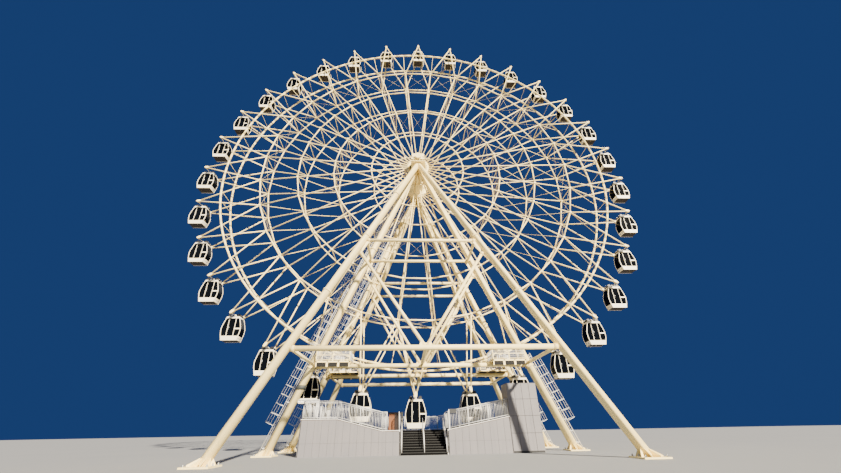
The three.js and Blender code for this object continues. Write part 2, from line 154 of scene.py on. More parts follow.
# A flat outline pushed along a direction: outline points are 3-D and lie in one plane
def addPrism(shape, outline, push, slot=0, smooth=False):
    outline, push = [Vector(p) for p in outline], Vector(push)
    normal = sum((a.cross(b) for a, b in zip(outline, outline[1:] + outline[:1])), Vector())
    if normal.dot(push) < 0:
        outline.reverse()
    addLoft(shape, [outline, [p + push for p in outline]], slot, smooth)


# A flat outline of (x, z) points at one y, pushed along y
def addSlab(shape, outline, y, thick, slot=0):
    addPrism(shape, [(x, y, z) for x, z in outline], (0, thick, 0), slot)


def makeMesh(shape, *materials):
    mesh = bpy.data.meshes.new("made")
    mesh.from_pydata(shape["points"], [], shape["faces"])
    mesh.polygons.foreach_set("material_index", shape["slots"])
    mesh.polygons.foreach_set("use_smooth", shape["smooth"])
    for material in materials:
        mesh.materials.append(material)
    mesh.update()
    return mesh


def addObject(name, data):
    made = bpy.data.objects.new(name, data)
    bpy.context.scene.collection.objects.link(made)
    return made


# The finished mesh of an object, with its modifiers baked in; the object itself goes
def bakedMesh(carrier):
    mesh = bpy.data.meshes.new_from_object(carrier.evaluated_get(bpy.context.evaluated_depsgraph_get()))
    bpy.data.objects.remove(carrier)
    return mesh


# Joins meshes, and pairs of a shape and its material, into one mesh
def joinParts(*parts):
    made, materials = newShape(), []
    for part in parts:
        mesh = makeMesh(*part) if isinstance(part, tuple) else part
        start = len(made["points"])
        materials += [material for material in mesh.materials if material not in materials]
        slots = [materials.index(material) for material in mesh.materials]
        made["points"] += [tuple(v.co) for v in mesh.vertices]
        for polygon in mesh.polygons:
            made["faces"].append([start + i for i in polygon.vertices])
            made["slots"].append(slots[polygon.material_index])
            made["smooth"].append(polygon.use_smooth)
    return makeMesh(made, *materials)


# Cuts a closed mesh along a plane, drops the side that the normal points to and closes the cut
def cutMesh(mesh, point, normal):
    work = bmesh.new()
    work.from_mesh(mesh)
    everything = work.verts[:] + work.edges[:] + work.faces[:]
    bmesh.ops.bisect_plane(work, geom=everything, plane_co=m(Vector(point)), plane_no=normal,
                           clear_outer=True)
    bmesh.ops.holes_fill(work, edges=[edge for edge in work.edges if edge.is_boundary])
    work.to_mesh(mesh)
    work.free()


# Breaks every edge sharper than 50 degrees, as a folded or machined edge is
def softened(mesh, width):
    carrier = addObject("carrier", mesh)
    bevel = carrier.modifiers.new("edge", "BEVEL")
    bevel.width, bevel.segments = m(width), 1
    bevel.limit_method, bevel.angle_limit = "ANGLE", math.radians(50)
    return bakedMesh(carrier)


def finishPiece(name, mesh, replaced=(), body="base"):
    piece = addObject(name, mesh)
    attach(piece, body)
    if replaced:
        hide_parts(*replaced)


# Materials: patterns run in metres of the model, so a scale of 1 gives features of about 1000 mm


def startMaterial(name):
    material = bpy.data.materials.new(name)
    material.use_nodes = True
    tree = material.node_tree
    return material, tree, addNode(tree, "ShaderNodeTexCoord").outputs["Object"]


def endMaterial(material, inputs):
    plug(material.node_tree, material.node_tree.nodes["Principled BSDF"], inputs)
    return material


def noise(tree, vector, scale, detail, **more):
    inputs = {"Vector": vector, "Scale": scale, "Detail": detail, **more}
    return addNode(tree, "ShaderNodeTexNoise", inputs).outputs["Fac"]


def stretch(tree, vector, scale):
    return addNode(tree, "ShaderNodeMapping", {"Vector": vector, "Scale": scale}).outputs["Vector"]


def blend(tree, share, first, second):
    return addNode(tree, "ShaderNodeMix", {0: share, 6: first, 7: second}, data_type="RGBA").outputs[2]


def span(tree, value, low, high, start=0.0, end=1.0):
    inputs = {"Value": value, "From Min": start, "From Max": end, "To Min": low, "To Max": high}
    return addNode(tree, "ShaderNodeMapRange", inputs).outputs["Result"]


def bump(tree, height, strength, distance=0.01):
    inputs = {"Height": height, "Strength": strength, "Distance": distance}
    return addNode(tree, "ShaderNodeBump", inputs).outputs["Normal"]


# Painted steel or sheet: broad fading, streaks that run down, and the fine orange peel of sprayed paint
def paintedSteel(name, clean, worn, grime, streak=0.5, streakWidth=0.35, roughness=0.42):
    material, tree, place = startMaterial(name)
    fade = blend(tree, noise(tree, place, 0.8, 4.0), clean, worn)  # patches of about 1250 mm
    runs = stretch(tree, place, (1 / streakWidth, 1 / streakWidth, 0.18))
    lines = noise(tree, runs, 1.6, 6.0, Roughness=0.65)  # streaks about 200 mm wide and 3500 mm long
    dirt = span(tree, lines, 0.0, streak, 0.5, 0.78)
    grain = noise(tree, place, 45.0, 3.0)  # about 22 mm, coarser than real orange peel, so that it shows
    return endMaterial(material, {
        "Base Color": blend(tree, dirt, fade, grime), "Normal": bump(tree, grain, 0.25, 0.02),
        "Roughness": span(tree, lines, roughness - 0.08, roughness + 0.2)})


# cream gloss enamel sprayed on steel: warm and near white, half shiny, chalky where it has faded
creamEnamel = paintedSteel("creamEnamel", "#fdebab", "#f4df9a", "#a0906a", streak=0.24)
# white enamel on small sections: colder and a little duller
whiteEnamel = paintedSteel("whiteEnamel", "#dfdfdd", "#cfd1d3", "#8a8c8d", streak=0.25, roughness=0.45)
# painted sheet wall: chalky grey, bluish where it has faded, with thin dirty runs below every joint
sheetCladding = paintedSteel("sheetCladding", "#7f7b7c", "#6a6b71", "#5f6063", streakWidth=0.3, roughness=0.6)
# dark steel angle along the deck's edge: brown primer under thin paint
brownSteel = paintedSteel("brownSteel", "#5b4a3a", "#4a3b2f", "#2a221c", roughness=0.55)
# dull dark grey-green for the band round one leg
darkBandSteel = paintedSteel("darkBandCoat", "#3b3f3d", "#2e3230", "#1c1e1d", streak=0.3, roughness=0.6)
# ivory two-pack enamel on the cabins: the shiniest paint here
cabinEnamel = paintedSteel("cabinEnamel", "#f3ecd6", "#eae2ca", "#b3a88f", streak=0.18, roughness=0.3)
# red-brown primer on a gearbox casting
primerCasting = paintedSteel("primerCasting", "#5a3527", "#4b2c22", "#261813", streak=0.4, roughness=0.55)
# sheet below each cabin, nearly black and dull: painted shade for the cream underside that hangs in its own
# shadow
underShadeSheet = paintedSteel("underShadeSheet", "#33281f", "#282019", "#15110d", streak=0.4,
                                roughness=0.7)


# galvanised steel: bright zinc with cloudy crystals, drawn about 45 mm wide so that they show
def makeGalvanised():
    material, tree, place = startMaterial("galvanisedSteel")
    crystals = addNode(tree, "ShaderNodeTexVoronoi", {"Vector": place, "Scale": 22.0}).outputs["Distance"]
    return endMaterial(material, {"Base Color": blend(tree, crystals, "#b9bdc0", "#93989c"),
                                  "Roughness": span(tree, crystals, 0.32, 0.5), "Metallic": 0.85})


# chequer plate and stair treads: black coated steel, its raised bars drawn 110 mm apart so that they show
def makeChequer():
    material, tree, place = startMaterial("chequerPlate")
    wear = noise(tree, place, 2.2, 7.0, Roughness=0.6)
    bars = addNode(tree, "ShaderNodeTexWave", {"Vector": place, "Scale": 9.0, "Distortion": 0.4},
                   bands_direction="DIAGONAL").outputs["Fac"]
    return endMaterial(material, {
        "Base Color": blend(tree, wear, "#040404", "#0c0c0d"), "Normal": bump(tree, bars, 0.4),
        "Roughness": span(tree, wear, 0.45, 0.75), "Specular IOR Level": 0.05})


# tinted safety glass: near black from outside, with a faint cloud of dust on each pane
def makeGlass():
    material, tree, place = startMaterial("tintedGlass")
    dust = noise(tree, place, 1.4, 5.0)
    return endMaterial(material, {
        "Base Color": blend(tree, dust, "#040507", "#0a0d13"), "Roughness": span(tree, dust, 0.07, 0.16),
        "IOR": 1.5, "Specular IOR Level": 0.03})


# moulded black plastic, rubber and dull dark coats: soft sheen over a pebble grain of about 33 mm
def makeBlack(name, shade, lighter, roughness):
    material, tree, place = startMaterial(name)
    grain = noise(tree, place, 30.0, 4.0)
    return endMaterial(material, {"Base Color": blend(tree, grain, shade, lighter),
                                  "Normal": bump(tree, grain, 0.2), "Roughness": roughness})


# stained softwood boards: brown with darker growth lines about 55 mm wide and 700 mm long
def makeTimber(name, pale, dark):
    material, tree, place = startMaterial(name)
    growth = noise(tree, stretch(tree, place, (9.0, 9.0, 0.7)), 2.0, 8.0, Distortion=0.6)
    return endMaterial(material, {"Base Color": blend(tree, growth, pale, dark),
                                  "Normal": bump(tree, growth, 0.3), "Roughness": 0.6})


galvanised, chequerPlate, tintedGlass = makeGalvanised(), makeChequer(), makeGlass()
# core plastic and seal rubber, both black; the dark bays under the drive stands are painted shade, duller
# still
# the same black also serves as painted shade in the bearing heads
blackPlasticAndShade = makeBlack("mouldedPlasticAndShade", "#101113", "#25272a", 0.45)
blackRubber = makeBlack("blackRubber", "#17171a", "#2b2a2a", 0.7)
paintedShadeBlack = makeBlack("paintedShadeBlack", "#050505", "#0c0c0c", 0.85)
# dark grey powder coat on the step edges and on the blank plate beside the stair
darkPanel = makeBlack("greyPowderCoat", "#1b1d20", "#2c2f31", 0.6)
stainedBoards = makeTimber("stainedBoards", "#85502a", "#54311a")
darkBoards = makeTimber("darkStainedBoards", "#33221a", "#1c130f")
print("materials made")


# Geometry node tree for what repeats: each copy moves on by a gap and turns further about the y axis
def makeCopyTree():
    tree = bpy.data.node_groups.new("rowOrRingOfCopies", "GeometryNodeTree")
    for label, kind in (("Source", "Object"), ("Count", "Int"), ("First", "Vector"), ("Gap", "Vector"),
                        ("Start", "Float"), ("Step", "Float"), ("Material", "Material")):
        tree.interface.new_socket(label, in_out="INPUT", socket_type="NodeSocket" + kind)
    tree.interface.new_socket("Geometry", in_out="OUTPUT", socket_type="NodeSocketGeometry")
    given = tree.nodes.new("NodeGroupInput").outputs
    source = addNode(tree, "GeometryNodeObjectInfo", {"Object": given["Source"]})
    line = addNode(tree, "GeometryNodeMeshLine", {"Count": given["Count"], "Start Location": given["First"],
                                                  "Offset": given["Gap"]})
    index = addNode(tree, "GeometryNodeInputIndex").outputs[0]
    turned = addNode(tree, "ShaderNodeMath", {0: index, 1: given["Step"]}, operation="MULTIPLY")
    angle = addNode(tree, "ShaderNodeMath", {0: turned.outputs[0], 1: given["Start"]}, operation="ADD")
    rotation = addNode(tree, "FunctionNodeAxisAngleToRotation", {"Axis": (0.0, 1.0, 0.0),
                                                                 "Angle": angle.outputs[0]})
    copies = addNode(tree, "GeometryNodeInstanceOnPoints", {
        "Points": line.outputs[0], "Instance": source.outputs["Geometry"], "Rotation": rotation.outputs[0]})
    real = addNode(tree, "GeometryNodeRealizeInstances", {"Geometry": copies.outputs[0]})
    painted = addNode(tree, "GeometryNodeSetMaterial", {"Geometry": real.outputs[0],
                                                        "Material": given["Material"]})
    addNode(tree, "NodeGroupOutput", {0: painted.outputs[0]})
    return tree


copyTree = makeCopyTree()


# Runs the tree once and gives the copies as one plain mesh
def copyMesh(shape, material, count, first, gap=(0, 0, 0), start=0.0, turn=0.0):
    source = addObject("source", makeMesh(shape, material))
    carrier = addObject("carrier", bpy.data.meshes.new("carrier"))
    modifier = carrier.modifiers.new("copies", "NODES")
    modifier.node_group = copyTree
    values = {"Source": source, "Count": count, "First": tuple(m(Vector(first))),
              "Gap": tuple(m(Vector(gap))), "Start": start, "Step": turn, "Material": material}
    for item in copyTree.interface.items_tree:
        if item.in_out == "INPUT":
            modifier[item.identifier] = values[item.name]
    mesh = bakedMesh(carrier)
    bpy.data.objects.remove(source)
    return mesh


def rowMesh(shape, first, last, count):
    gap = (Vector(last) - Vector(first)) / max(count - 1, 1)
    return copyMesh(shape, whiteEnamel, count, first, gap)


# The turning wheel


def turnAngle(index):
    return math.radians(wheel["restTurn"]) + index * step


# A place on the wheel, measured from the middle of the hub
def rimPoint(index, radius, y=0.0):
    a = turnAngle(index)
    return Vector((radius * math.sin(a), y, radius * math.cos(a)))


# Half the distance between the two frames, which shrinks from the hub to the second ring and on to the tips
def halfAt(radius):
    low, high = (wheel["rings"][0], wheel["secondHalf"]), (wheel["tipRadius"], wheel["tipHalf"])
    if radius < wheel["rings"][0]:
        low, high = (wheel["hubRadius"], wheel["hubHalf"]), low
    return low[1] + (high[1] - low[1]) * (radius - low[0]) / (high[0] - low[0])


# Where an arm from a tip to the second ring crosses a radius, as an index
def armCrossing(side, radius):
    tip, node = rimPoint(0, wheel["tipRadius"]), rimPoint(side * 0.5, wheel["rings"][0])
    arm = node - tip
    square, slope = arm.length_squared, tip.dot(arm)
    share = (-slope - math.sqrt(slope ** 2 - square * (tip.length_squared - radius ** 2))) / square
    point = tip.lerp(node, share)
    return (math.atan2(point.x, point.z) - turnAngle(0)) / step


tubes = {"arm": 0.08, "rim": 0.125, "rings": [0.09, 0.085, 0.08, 0.075], "spoke": 0.075, "spokeEnd": 1.5,
         "sleeve": 0.13, "sleeveHalf": 0.16}


def frameSector(side):
    sector, second = newShape(), wheel["rings"][0]

    def at(index, radius):
        return rimPoint(index, radius, side * halfAt(radius))

    for hand in (-0.5, 0.5):
        addTube(sector, at(0, wheel["tipRadius"]), at(hand, second), tubes["arm"])
    for a, b in pairwise([at(index, wheel["rimRadius"]) for index in levels(-0.5, 0.5, 4)]):
        addTube(sector, a, b, tubes["rim"], 12)
    for radius, size in zip(wheel["rings"], tubes["rings"]):
        node, reach = at(0.5, radius), Vector((0, tubes["sleeveHalf"], 0))
        addTube(sector, at(-0.5, radius), node, size)
        addTube(sector, node - reach, node + reach, tubes["sleeve"])
    addTube(sector, at(0.5, second), at(0.5, tubes["spokeEnd"]), tubes["spoke"])
    return sector


tipClasp = {"outline": [(0.01, 30.13), (0.022, 30.0), (0.028, 29.75), (0.018, 29.55)], "apart": 0.1,
            "thick": 0.03, "axleHead": 0.1, "reach": 0.15}


# Small plates that clasp both arms at each tip, with the clamp that holds the cabin's axle
def tipSector(side):
    sector, y, half = newShape(), side * wheel["tipHalf"], tipClasp["outline"]
    outline = half + [(-index, radius) for index, radius in reversed(half)]
    for face in (-1, 1):
        plate = [rimPoint(index, radius, y + face * tipClasp["apart"]) for index, radius in outline]
        addPrism(sector, plate, (0, face * tipClasp["thick"], 0))
    tip, reach = rimPoint(0, wheel["tipRadius"], y), Vector((0, tipClasp["reach"], 0))
    addTube(sector, tip - reach, tip + reach, tipClasp["axleHead"], 12)
    return sector


rods = {"post": 0.05, "rimPost": 0.025, "thick": 0.036, "thin": 0.02, "cross": 0.01, "rimPostRadius": 26.8,
        "rimInset": 0.2}


# Posts between the two frames, with thin crossed rods beside the outer and the third ring's posts
def postSector():
    sector = newShape()
    for radius in wheel["rings"][:3]:
        y = halfAt(radius)
        addTube(sector, rimPoint(0.5, radius, -y), rimPoint(0.5, radius, y), rods["post"], 8)
        if radius != wheel["rings"][1]:
            for a in (0.5, -0.5):
                addTube(sector, rimPoint(a, radius, -y), rimPoint(-a, radius, y), rods["cross"], 6)
    for side in (-1, 1):
        index, y = armCrossing(side, wheel["rimRadius"]), halfAt(wheel["rimRadius"])
        ends = [rimPoint(index, rods["rimPostRadius"], way * y) for way in (-1, 1)]
        addTube(sector, *ends, rods["rimPost"], 6)
    return sector


# Diagonal rods in the plane of one spoke, from the front outside in to the back, or the other way
def diagonalSector(outwards, size):
    sector = newShape()
    for radii in pairwise([wheel["rimRadius"] - rods["rimInset"]] + wheel["rings"][:3]):
        front, back = reversed(radii) if outwards else radii
        addTube(sector, rimPoint(0.5, front, -halfAt(front)), rimPoint(0.5, back, halfAt(back)), size, 6)
    return sector


def ringMesh(shape, count=wheel["count"], start=0.0, centre=hubCentre, material=creamEnamel, turn=step):
    return copyMesh(shape, material, count, centre, start=start, turn=turn)


for side, face in faceSides:
    replaced = [f"wheel_{face}_frame"]
    finishPiece(f"wheel_{face}_tubes", ringMesh(frameSector(side)), replaced, "wheel")
    finishPiece(f"wheel_{face}_tip_plates", ringMesh(tipSector(side)), body="wheel")
half = wheel["count"] // 2
finishPiece("wheel_rods", joinParts(
    ringMesh(postSector()), ringMesh(diagonalSector(False, rods["thick"]), half, -half * step),
    ringMesh(diagonalSector(False, rods["thin"]), half), ringMesh(diagonalSector(True, rods["thick"]), half)),
    body="wheel")
print("wheel frames made")

hub = {"drum": 0.98, "flange": 1.54, "flangeThick": 0.16, "shaft": 0.44, "end": 5.0, "rib": 1.2,
       "ribHalf": 0.1, "ring": (1.1, 1.58), "ringThick": 0.2, "inset": 0.1, "gap": 0.0006,
       "bolts": 24, "boltCircle": 1.36, "bolt": 0.05, "boltHigh": 0.1}


def makeHub():
    drum, meshes = newShape(), []
    low = wheel["hubHalf"] - hub["inset"]
    # the flanges end just inside the rings that gather the spokes
    outer, inner, core, rib = low - hub["gap"], low - hub["flangeThick"], hub["drum"], hub["rib"]
    half = [(hub["shaft"], hub["end"]), (hub["shaft"], outer), (hub["flange"], outer), (hub["flange"], inner),
            (rib, inner - 0.04), (core, inner - 0.24), (core, 0.16), (rib, hub["ribHalf"])]
    profile = [(radius, -y) for radius, y in half] + half[::-1]
    addTurned(drum, hubCentre, (0, 1, 0), profile, 48, smooth=False)
    (near, far), thick, out = hub["ring"], hub["ringThick"], hub["boltCircle"]
    for side in (-1, 1):
        # a ring of bolts on the flat ring that gathers the spokes
        stud, ring = newShape(), newShape()
        addTube(stud, (0, 0, out), (0, side * hub["boltHigh"], out), hub["bolt"], 6, smooth=False)
        where = (0, side * (low + thick), hubHeight)
        meshes.append(ringMesh(stud, hub["bolts"], 0.0, where, galvanised, 2 * math.pi / hub["bolts"]))
        profile = [(near, 0.0), (far, 0.0), (far, thick), (near, thick), (near, 0.0)]
        addTurned(ring, (0, side * low, hubHeight), (0, side, 0), profile, 48)
        meshes.append(makeMesh(ring, creamEnamel))
    return joinParts((drum, creamEnamel), *meshes)


finishPiece("hub_drum", makeHub(), ["hub"], "wheel")
print("hub made")


# Cabins, each modelled round the middle of its axle

cabin = {
    "outline": [(-0.24, 0.70), (-0.5, 0.80), (-0.8, 0.895), (-1.1, 0.985), (-1.4, 1.06), (-1.62, 1.10),
                (-1.9, 1.095), (-2.2, 1.055), (-2.45, 1.0), (-2.7, 0.93), (-2.98, 0.86)],
    "halfDepth": 0.6, "pillar": 0.05, "doorHalf": 0.36, "frame": 0.045, "windowTop": -0.43,
    "windowBottom": -2.5, "corner": 0.06, "crossbar": -1.65, "crossbarHalf": 0.06, "groove": -2.74,
    "under": -2.955, "skin": 0.06, "seal": 0.012, "handle": (-1.35, -1.75), "handleRadius": 0.018,
    "plate": 0.05, "plateIn": 0.02, "paneIn": 0.035, "paneThick": 0.012, "paneLap": 0.015,
    # seat and its base: near and far end, half depth, low and high
    "seat": (0.42, 0.9, 0.5, -2.06, -1.98), "seatBase": (0.47, 0.85, 0.45, -2.54, -2.06),
    "shoulder": [(-0.2, -0.26), (0.2, -0.26), (0.1, 0.0), (0.04, 0.1), (-0.04, 0.1), (-0.1, 0.0)],
    "shoulderY": (-0.32, 0.26), "shoulderThick": 0.06, "sleeve": (0.34, 0.095), "axle": (1.29, 0.06),
    "knobX": 0.5, "knobZ": -0.07, "knobRadius": 0.185, "knobHalf": 0.5, "bandHalf": 0.03, "band": 0.012,
}


def cabinWidth(z):
    for (z0, w0), (z1, w1) in pairwise(cabin["outline"]):
        if z1 <= z <= z0:
            return w0 + (w1 - w0) * (z - z0) / (z1 - z0)
    return cabin["outline"][0 if z > cabin["outline"][0][0] else -1][1]


# Rounds the corners of a flat outline of (x, z) points
def roundOutline(points, radius, parts=2):
    made = []
    for i, point in enumerate(points):
        here = Vector(point)
        before, after = Vector(points[i - 1]) - here, Vector(points[(i + 1) % len(points)]) - here
        reach = min(radius, before.length / 2.1, after.length / 2.1)
        start, end = here + before.normalized() * reach, here + after.normalized() * reach
        for t in levels(0.0, 1.0, parts):
            made.append(tuple(start * (1 - t) ** 2 + here * 2 * t * (1 - t) + end * t ** 2))
    return made


# Flat plate with rounded holes, cut from a filled curve; outline and holes are (x, z)
def cutPlate(outline, holes, thick, material):
    curve = bpy.data.curves.new("plate", "CURVE")
    curve.dimensions, curve.fill_mode = "2D", "BOTH"
    curve.extrude, curve.bevel_depth, curve.bevel_resolution = m(thick) / 2, m(0.008), 0
    for points in [outline] + holes:
        spline = curve.splines.new("POLY")
        spline.points.add(len(points) - 1)
        spline.use_cyclic_u = True
        for point, (x, z) in zip(spline.points, points):
            point.co = (m(x), m(z), 0, 1)
    mesh = bakedMesh(addObject("plate", curve))
    mesh.transform(Matrix.Rotation(math.pi / 2, 4, "X"))
    mesh.polygons.foreach_set("use_smooth", [False] * len(mesh.polygons))
    mesh.materials.clear()
    mesh.materials.append(material)
    return mesh


# A strip of the barrel side between two heights and two depths, its two broad faces moved out by proud
def addStrip(shape, side, heights, depths, proud, parts, slot):
    points = [(side * (cabinWidth(z) + out), y, z) for out in proud for y in depths
              for z in levels(*heights, parts)]
    count = parts + 1
    broad, edges = [], []
    for a in range(parts):
        b, c, d = a + 1, count + a + 1, count + a
        broad += [(a, b, c, d), (2 * count + d, 2 * count + c, 2 * count + b, 2 * count + a)]
        edges += [(b, a, 2 * count + a, 2 * count + b), (d, c, 2 * count + c, 2 * count + d)]
    edges += [(0, count, 3 * count, 2 * count), (2 * count - 1, count - 1, 3 * count - 1, 4 * count - 1)]
    # slot 1 is flat glass; the order of the corners suits side 1 and leaves those of side -1 looking inwards
    addFaces(shape, points, broad, slot, slot != 1, edges)


def makeCabinMesh():
    depth, pillar, door, edge = pick(cabin, "halfDepth pillar doorHalf frame")
    top, bottom, bar, groove, under = pick(cabin, "windowTop windowBottom crossbar groove under")
    outline = [(w, z) for z, w in cabin["outline"]] + [(-w, z) for z, w in reversed(cabin["outline"])]
    body, plates = newShape(), []

    # outline of a window: a side is a number, or None where it follows the barrel
    def pane(left, right, high, low, grow=0.0):
        run = levels(high + grow, low - grow)
        ends = [(cabinWidth(z) - pillar if right is None else right) + grow for z in run]
        starts = [(pillar - cabinWidth(z) if left is None else left) - grow for z in run]
        return list(zip(ends, run)) + list(zip(starts, run))[::-1]

    def block(half, halfDeep, low, high, slot):
        addBox(body, (-half, half), (-halfDeep, halfDeep), (low, high), slot)

    panes = [(None, -door - edge, top, bottom), (0.01 - door, door - 0.01, top, bottom),
             (door + edge, None, top, bar + cabin["crossbarHalf"]),
             (door + edge, None, bar - cabin["crossbarHalf"], bottom)]
    for face in (-1, 1):

        # both faces show the split column on the right of whoever looks at them
        def turned(points):
            return [(-face * x, z) for x, z in points]

        holes = [turned(roundOutline(pane(*limits), cabin["corner"])) for limits in panes]
        plate = cutPlate(turned(outline), holes, cabin["plate"], cabinEnamel)
        plate.transform(Matrix.Translation((0, face * m(depth - cabin["plateIn"]), 0)))
        plates.append(plate)
        for limits in panes:
            glass = turned(pane(*limits, cabin["paneLap"]))
            addSlab(body, glass, face * (depth - cabin["paneIn"]), -face * cabin["paneThick"], 1)
        # door edge seals and the long handle
        seal, front = cabin["seal"], face * (depth + 0.006)
        for x in (face * door, -face * door):
            addBox(body, (x - seal, x + seal), (front - seal, front + seal), (bottom + 0.02, top), 2)
        x, y = face * (door - 0.1), face * (depth + 0.02)
        addTube(body, *[(x, y, z) for z in cabin["handle"]], cabin["handleRadius"], 8, 3)
    # barrel sides: pillars at both faces, sheet above and below the window, its pane and the groove's seal
    inner, roof = depth - cabin["paneIn"], cabin["outline"][0][0]
    middle, sheet = (-inner, inner), (0.0, -cabin["skin"])
    for side in (-1, 1):
        for heights, depths, proud, parts, slot in (
                ((roof, under), (-depth, -inner), sheet, 12, 0),
                ((roof, under), (inner, depth), sheet, 12, 0),
                ((roof, top), middle, sheet, 2, 0), ((bottom, groove + 0.015), middle, sheet, 3, 0),
                ((groove - 0.015, under), middle, sheet, 3, 0),
                ((top, bottom), middle, (-0.02, -0.035), 9, 1),
                ((groove + 0.02, groove - 0.02), middle, (-0.03, -0.05), 1, 2)):
            addStrip(body, side, heights, depths, proud, parts, slot)
    block(0.68, depth - 0.02, -0.34, -0.25, 0)  # roof pan
    block(0.91, depth - 0.02, -2.6, -2.54, 2)  # floor pan
    # the sheet below is painted shade for the underside
    block(0.86, depth - 0.046, -2.98, under, 5)  # brown sheet that closes the underside
    # benches at both ends
    for side, (part, slot) in product((-1, 1), (("seat", 2), ("seatBase", 0))):
        near, far, deep, low, high = cabin[part]
        addBox(body, (side * near, side * far), (-deep, deep), (low, high), slot)
    # hanger: two bracket plates, the sleeve on the axle and the axle itself
    for y in cabin["shoulderY"]:
        addSlab(body, cabin["shoulder"], y, cabin["shoulderThick"])
    for part, sides, slot in (("sleeve", 14, 0), ("axle", 12, 3)):
        reach, size = cabin[part]
        addTube(body, (0, -reach, 0), (0, reach, 0), size, sides, slot)
    block(0.22, 0.36, -0.27, -0.22, 0)
    # dark roof mat, and a round black roof unit along each upper corner
    block(0.66, depth - 0.03, -0.25, -0.19, 4)
    reach, size, z = cabin["knobHalf"], cabin["knobRadius"], cabin["knobZ"]
    for x in (-cabin["knobX"], cabin["knobX"]):
        addTube(body, (x, -reach, z), (x, reach, z), size, 12, 4)
        for y in (-reach * 0.5, reach * 0.5):
            ends = [(x, y + way * cabin["bandHalf"], z) for way in (-1, 1)]
            addTube(body, *ends, size + cabin["band"], 12, 3)
    mesh = makeMesh(body, cabinEnamel, tintedGlass, blackRubber, galvanised, blackPlasticAndShade, underShadeSheet)
    return joinParts(softened(mesh, 0.012), *plates)


cabinMesh = makeCabinMesh()
for index in range(wheel["count"]):
    name = f"cabin_{index + 1:02d}"
    mesh = cabinMesh.copy()
    mesh.transform(Matrix.Translation(m(rimPoint(index, wheel["tipRadius"]) + Vector(hubCentre))))
    finishPiece(f"{name}_body", mesh, [name], name)
print("cabins made, faces in each", len(cabinMesh.polygons))


# Legs

legs = {
    "outer": {"radius": 0.345, "startX": -0.33, "spreadX": 0.4215, "startY": 3.8, "spreadY": 0.299,
              "joints": (7.45, 14.6, 21.7)},
    "inner": {"radius": 0.37, "startX": -0.18, "spreadX": 0.4145, "startY": 3.25, "spreadY": 0.01,
              "joints": (6.2, 13.7, 21.1, 27.4)},
    "top": 0.8, "flange": 0.07, "flangeThick": 0.07, "gap": 0.006, "bolts": 16, "bolt": 0.018,
    "boltHalf": 0.1, "plate": 1.8, "plateThick": 0.1, "stiffeners": 8, "stiffenerHeight": 0.45,
    "stiffenerReach": 0.8, "stiffenerThick": 0.03, "stiffenerTip": 0.08, "anchors": (-0.8, 0.0, 0.8),
    "nut": (0.055, 0.09), "stud": (0.03, 0.16), "darkBandTop": 29.06, "darkBandLow": 29.44, "darkBandRadius": 0.47,
}


# A place on the middle line of a leg, a drop below the hub's height
def legPoint(kind, sideX, sideY, drop):
    leg = legs[kind]
    x, y = leg["startX"] + leg["spreadX"] * drop, leg["startY"] + leg["spreadY"] * drop
    return Vector((sideX * x, sideY * y, hubHeight - drop))


# The tube of a leg, cut level at both ends and upright where it meets the other leg
def legTube(kind, sideX, sideY):
    shape = newShape()
    ends = [legPoint(kind, sideX, sideY, drop) for drop in (legs["top"] - 0.4, hubHeight - 0.06)]
    addTube(shape, *ends, legs[kind]["radius"], 36)
    mesh = makeMesh(shape, creamEnamel)
    cutMesh(mesh, (0, 0, hubHeight - legs["top"] - 0.0004), up)
    cutMesh(mesh, (0, 0, legs["plateThick"]), -up)
    cutMesh(mesh, (sideX * 0.0004, 0, 0), (-sideX, 0, 0))
    return mesh


def makeLeg(kind, sideX, sideY):
    radius, thick, side = legs[kind]["radius"], legs["plateThick"], legs["plate"] / 2
    shape, bolts, collar = newShape(), newShape(), newShape()
    foot = legPoint(kind, sideX, sideY, hubHeight)
    along = (foot - legPoint(kind, sideX, sideY, 0)).normalized()
    across = along.cross(Vector((0, 1, 0))).normalized()
    third = along.cross(across)
    # bolted joints: two thin collars with a shadow gap between them
    for drop in legs[kind]["joints"]:
        centre = legPoint(kind, sideX, sideY, drop)
        for way in (-1, 1):
            ends = [centre + along * way * legs[k] for k in ("gap", "flangeThick")]
            addTube(shape, *ends, radius + legs["flange"], 36)
        for a in circle(legs["bolts"]):
            spot = centre + (across * math.cos(a) + third * math.sin(a)) * (radius + legs["flange"] / 2)
            reach = along * legs["boltHalf"]
            addTube(bolts, spot - reach, spot + reach, legs["bolt"], 6, smooth=False)
    # base plate with stiffeners all round and anchor bolts along both edges
    addBox(shape, (foot.x - side, foot.x + side), (foot.y - side, foot.y + side), (0, thick))
    crown = up * legs["stiffenerHeight"] + Vector((along.x, along.y, 0)) / along.z * legs["stiffenerHeight"]
    base = Vector((foot.x, foot.y, thick))
    for a in circle(legs["stiffeners"], math.pi / legs["stiffeners"]):
        out = Vector((math.cos(a), math.sin(a), 0))
        tip = out * legs["stiffenerReach"]
        outline = [out * radius * 0.8, tip, tip + up * legs["stiffenerTip"], crown + out * radius * 1.02,
                   crown + out * radius * 0.8]
        push = Vector((-out.y, out.x, 0)) * legs["stiffenerThick"]
        addPrism(shape, [base + p - push / 2 for p in outline], push)
    for x, y in product(legs["anchors"][::2], legs["anchors"]):
        addAnchor(bolts, base + Vector((side * x, side * y, 0)), legs["nut"], legs["stud"], 8)
    parts = [legTube(kind, sideX, sideY), (shape, creamEnamel), (bolts, galvanised)]
    if kind == "inner" and sideX < 0 and sideY < 0:
        # dark grey-green band round the tube, cut level above and below
        low, high = [legPoint(kind, sideX, sideY, legs[k]) for k in ("darkBandLow", "darkBandTop")]
        outline = [low + Vector((math.cos(a), math.sin(a), 0)) * legs["darkBandRadius"] for a in circle(28)]
        addPrism(collar, outline, high - low, smooth=True)
        parts.append((collar, darkBandSteel))
    return joinParts(*parts)


for (sideY, face), (sideX, hand), kind in product(faceSides, handSides, ("outer", "inner")):
    node = f"{face}_{kind}_leg_{hand}"
    finishPiece(f"{node}_tube", makeLeg(kind, sideX, sideY), [node])
print("legs made")

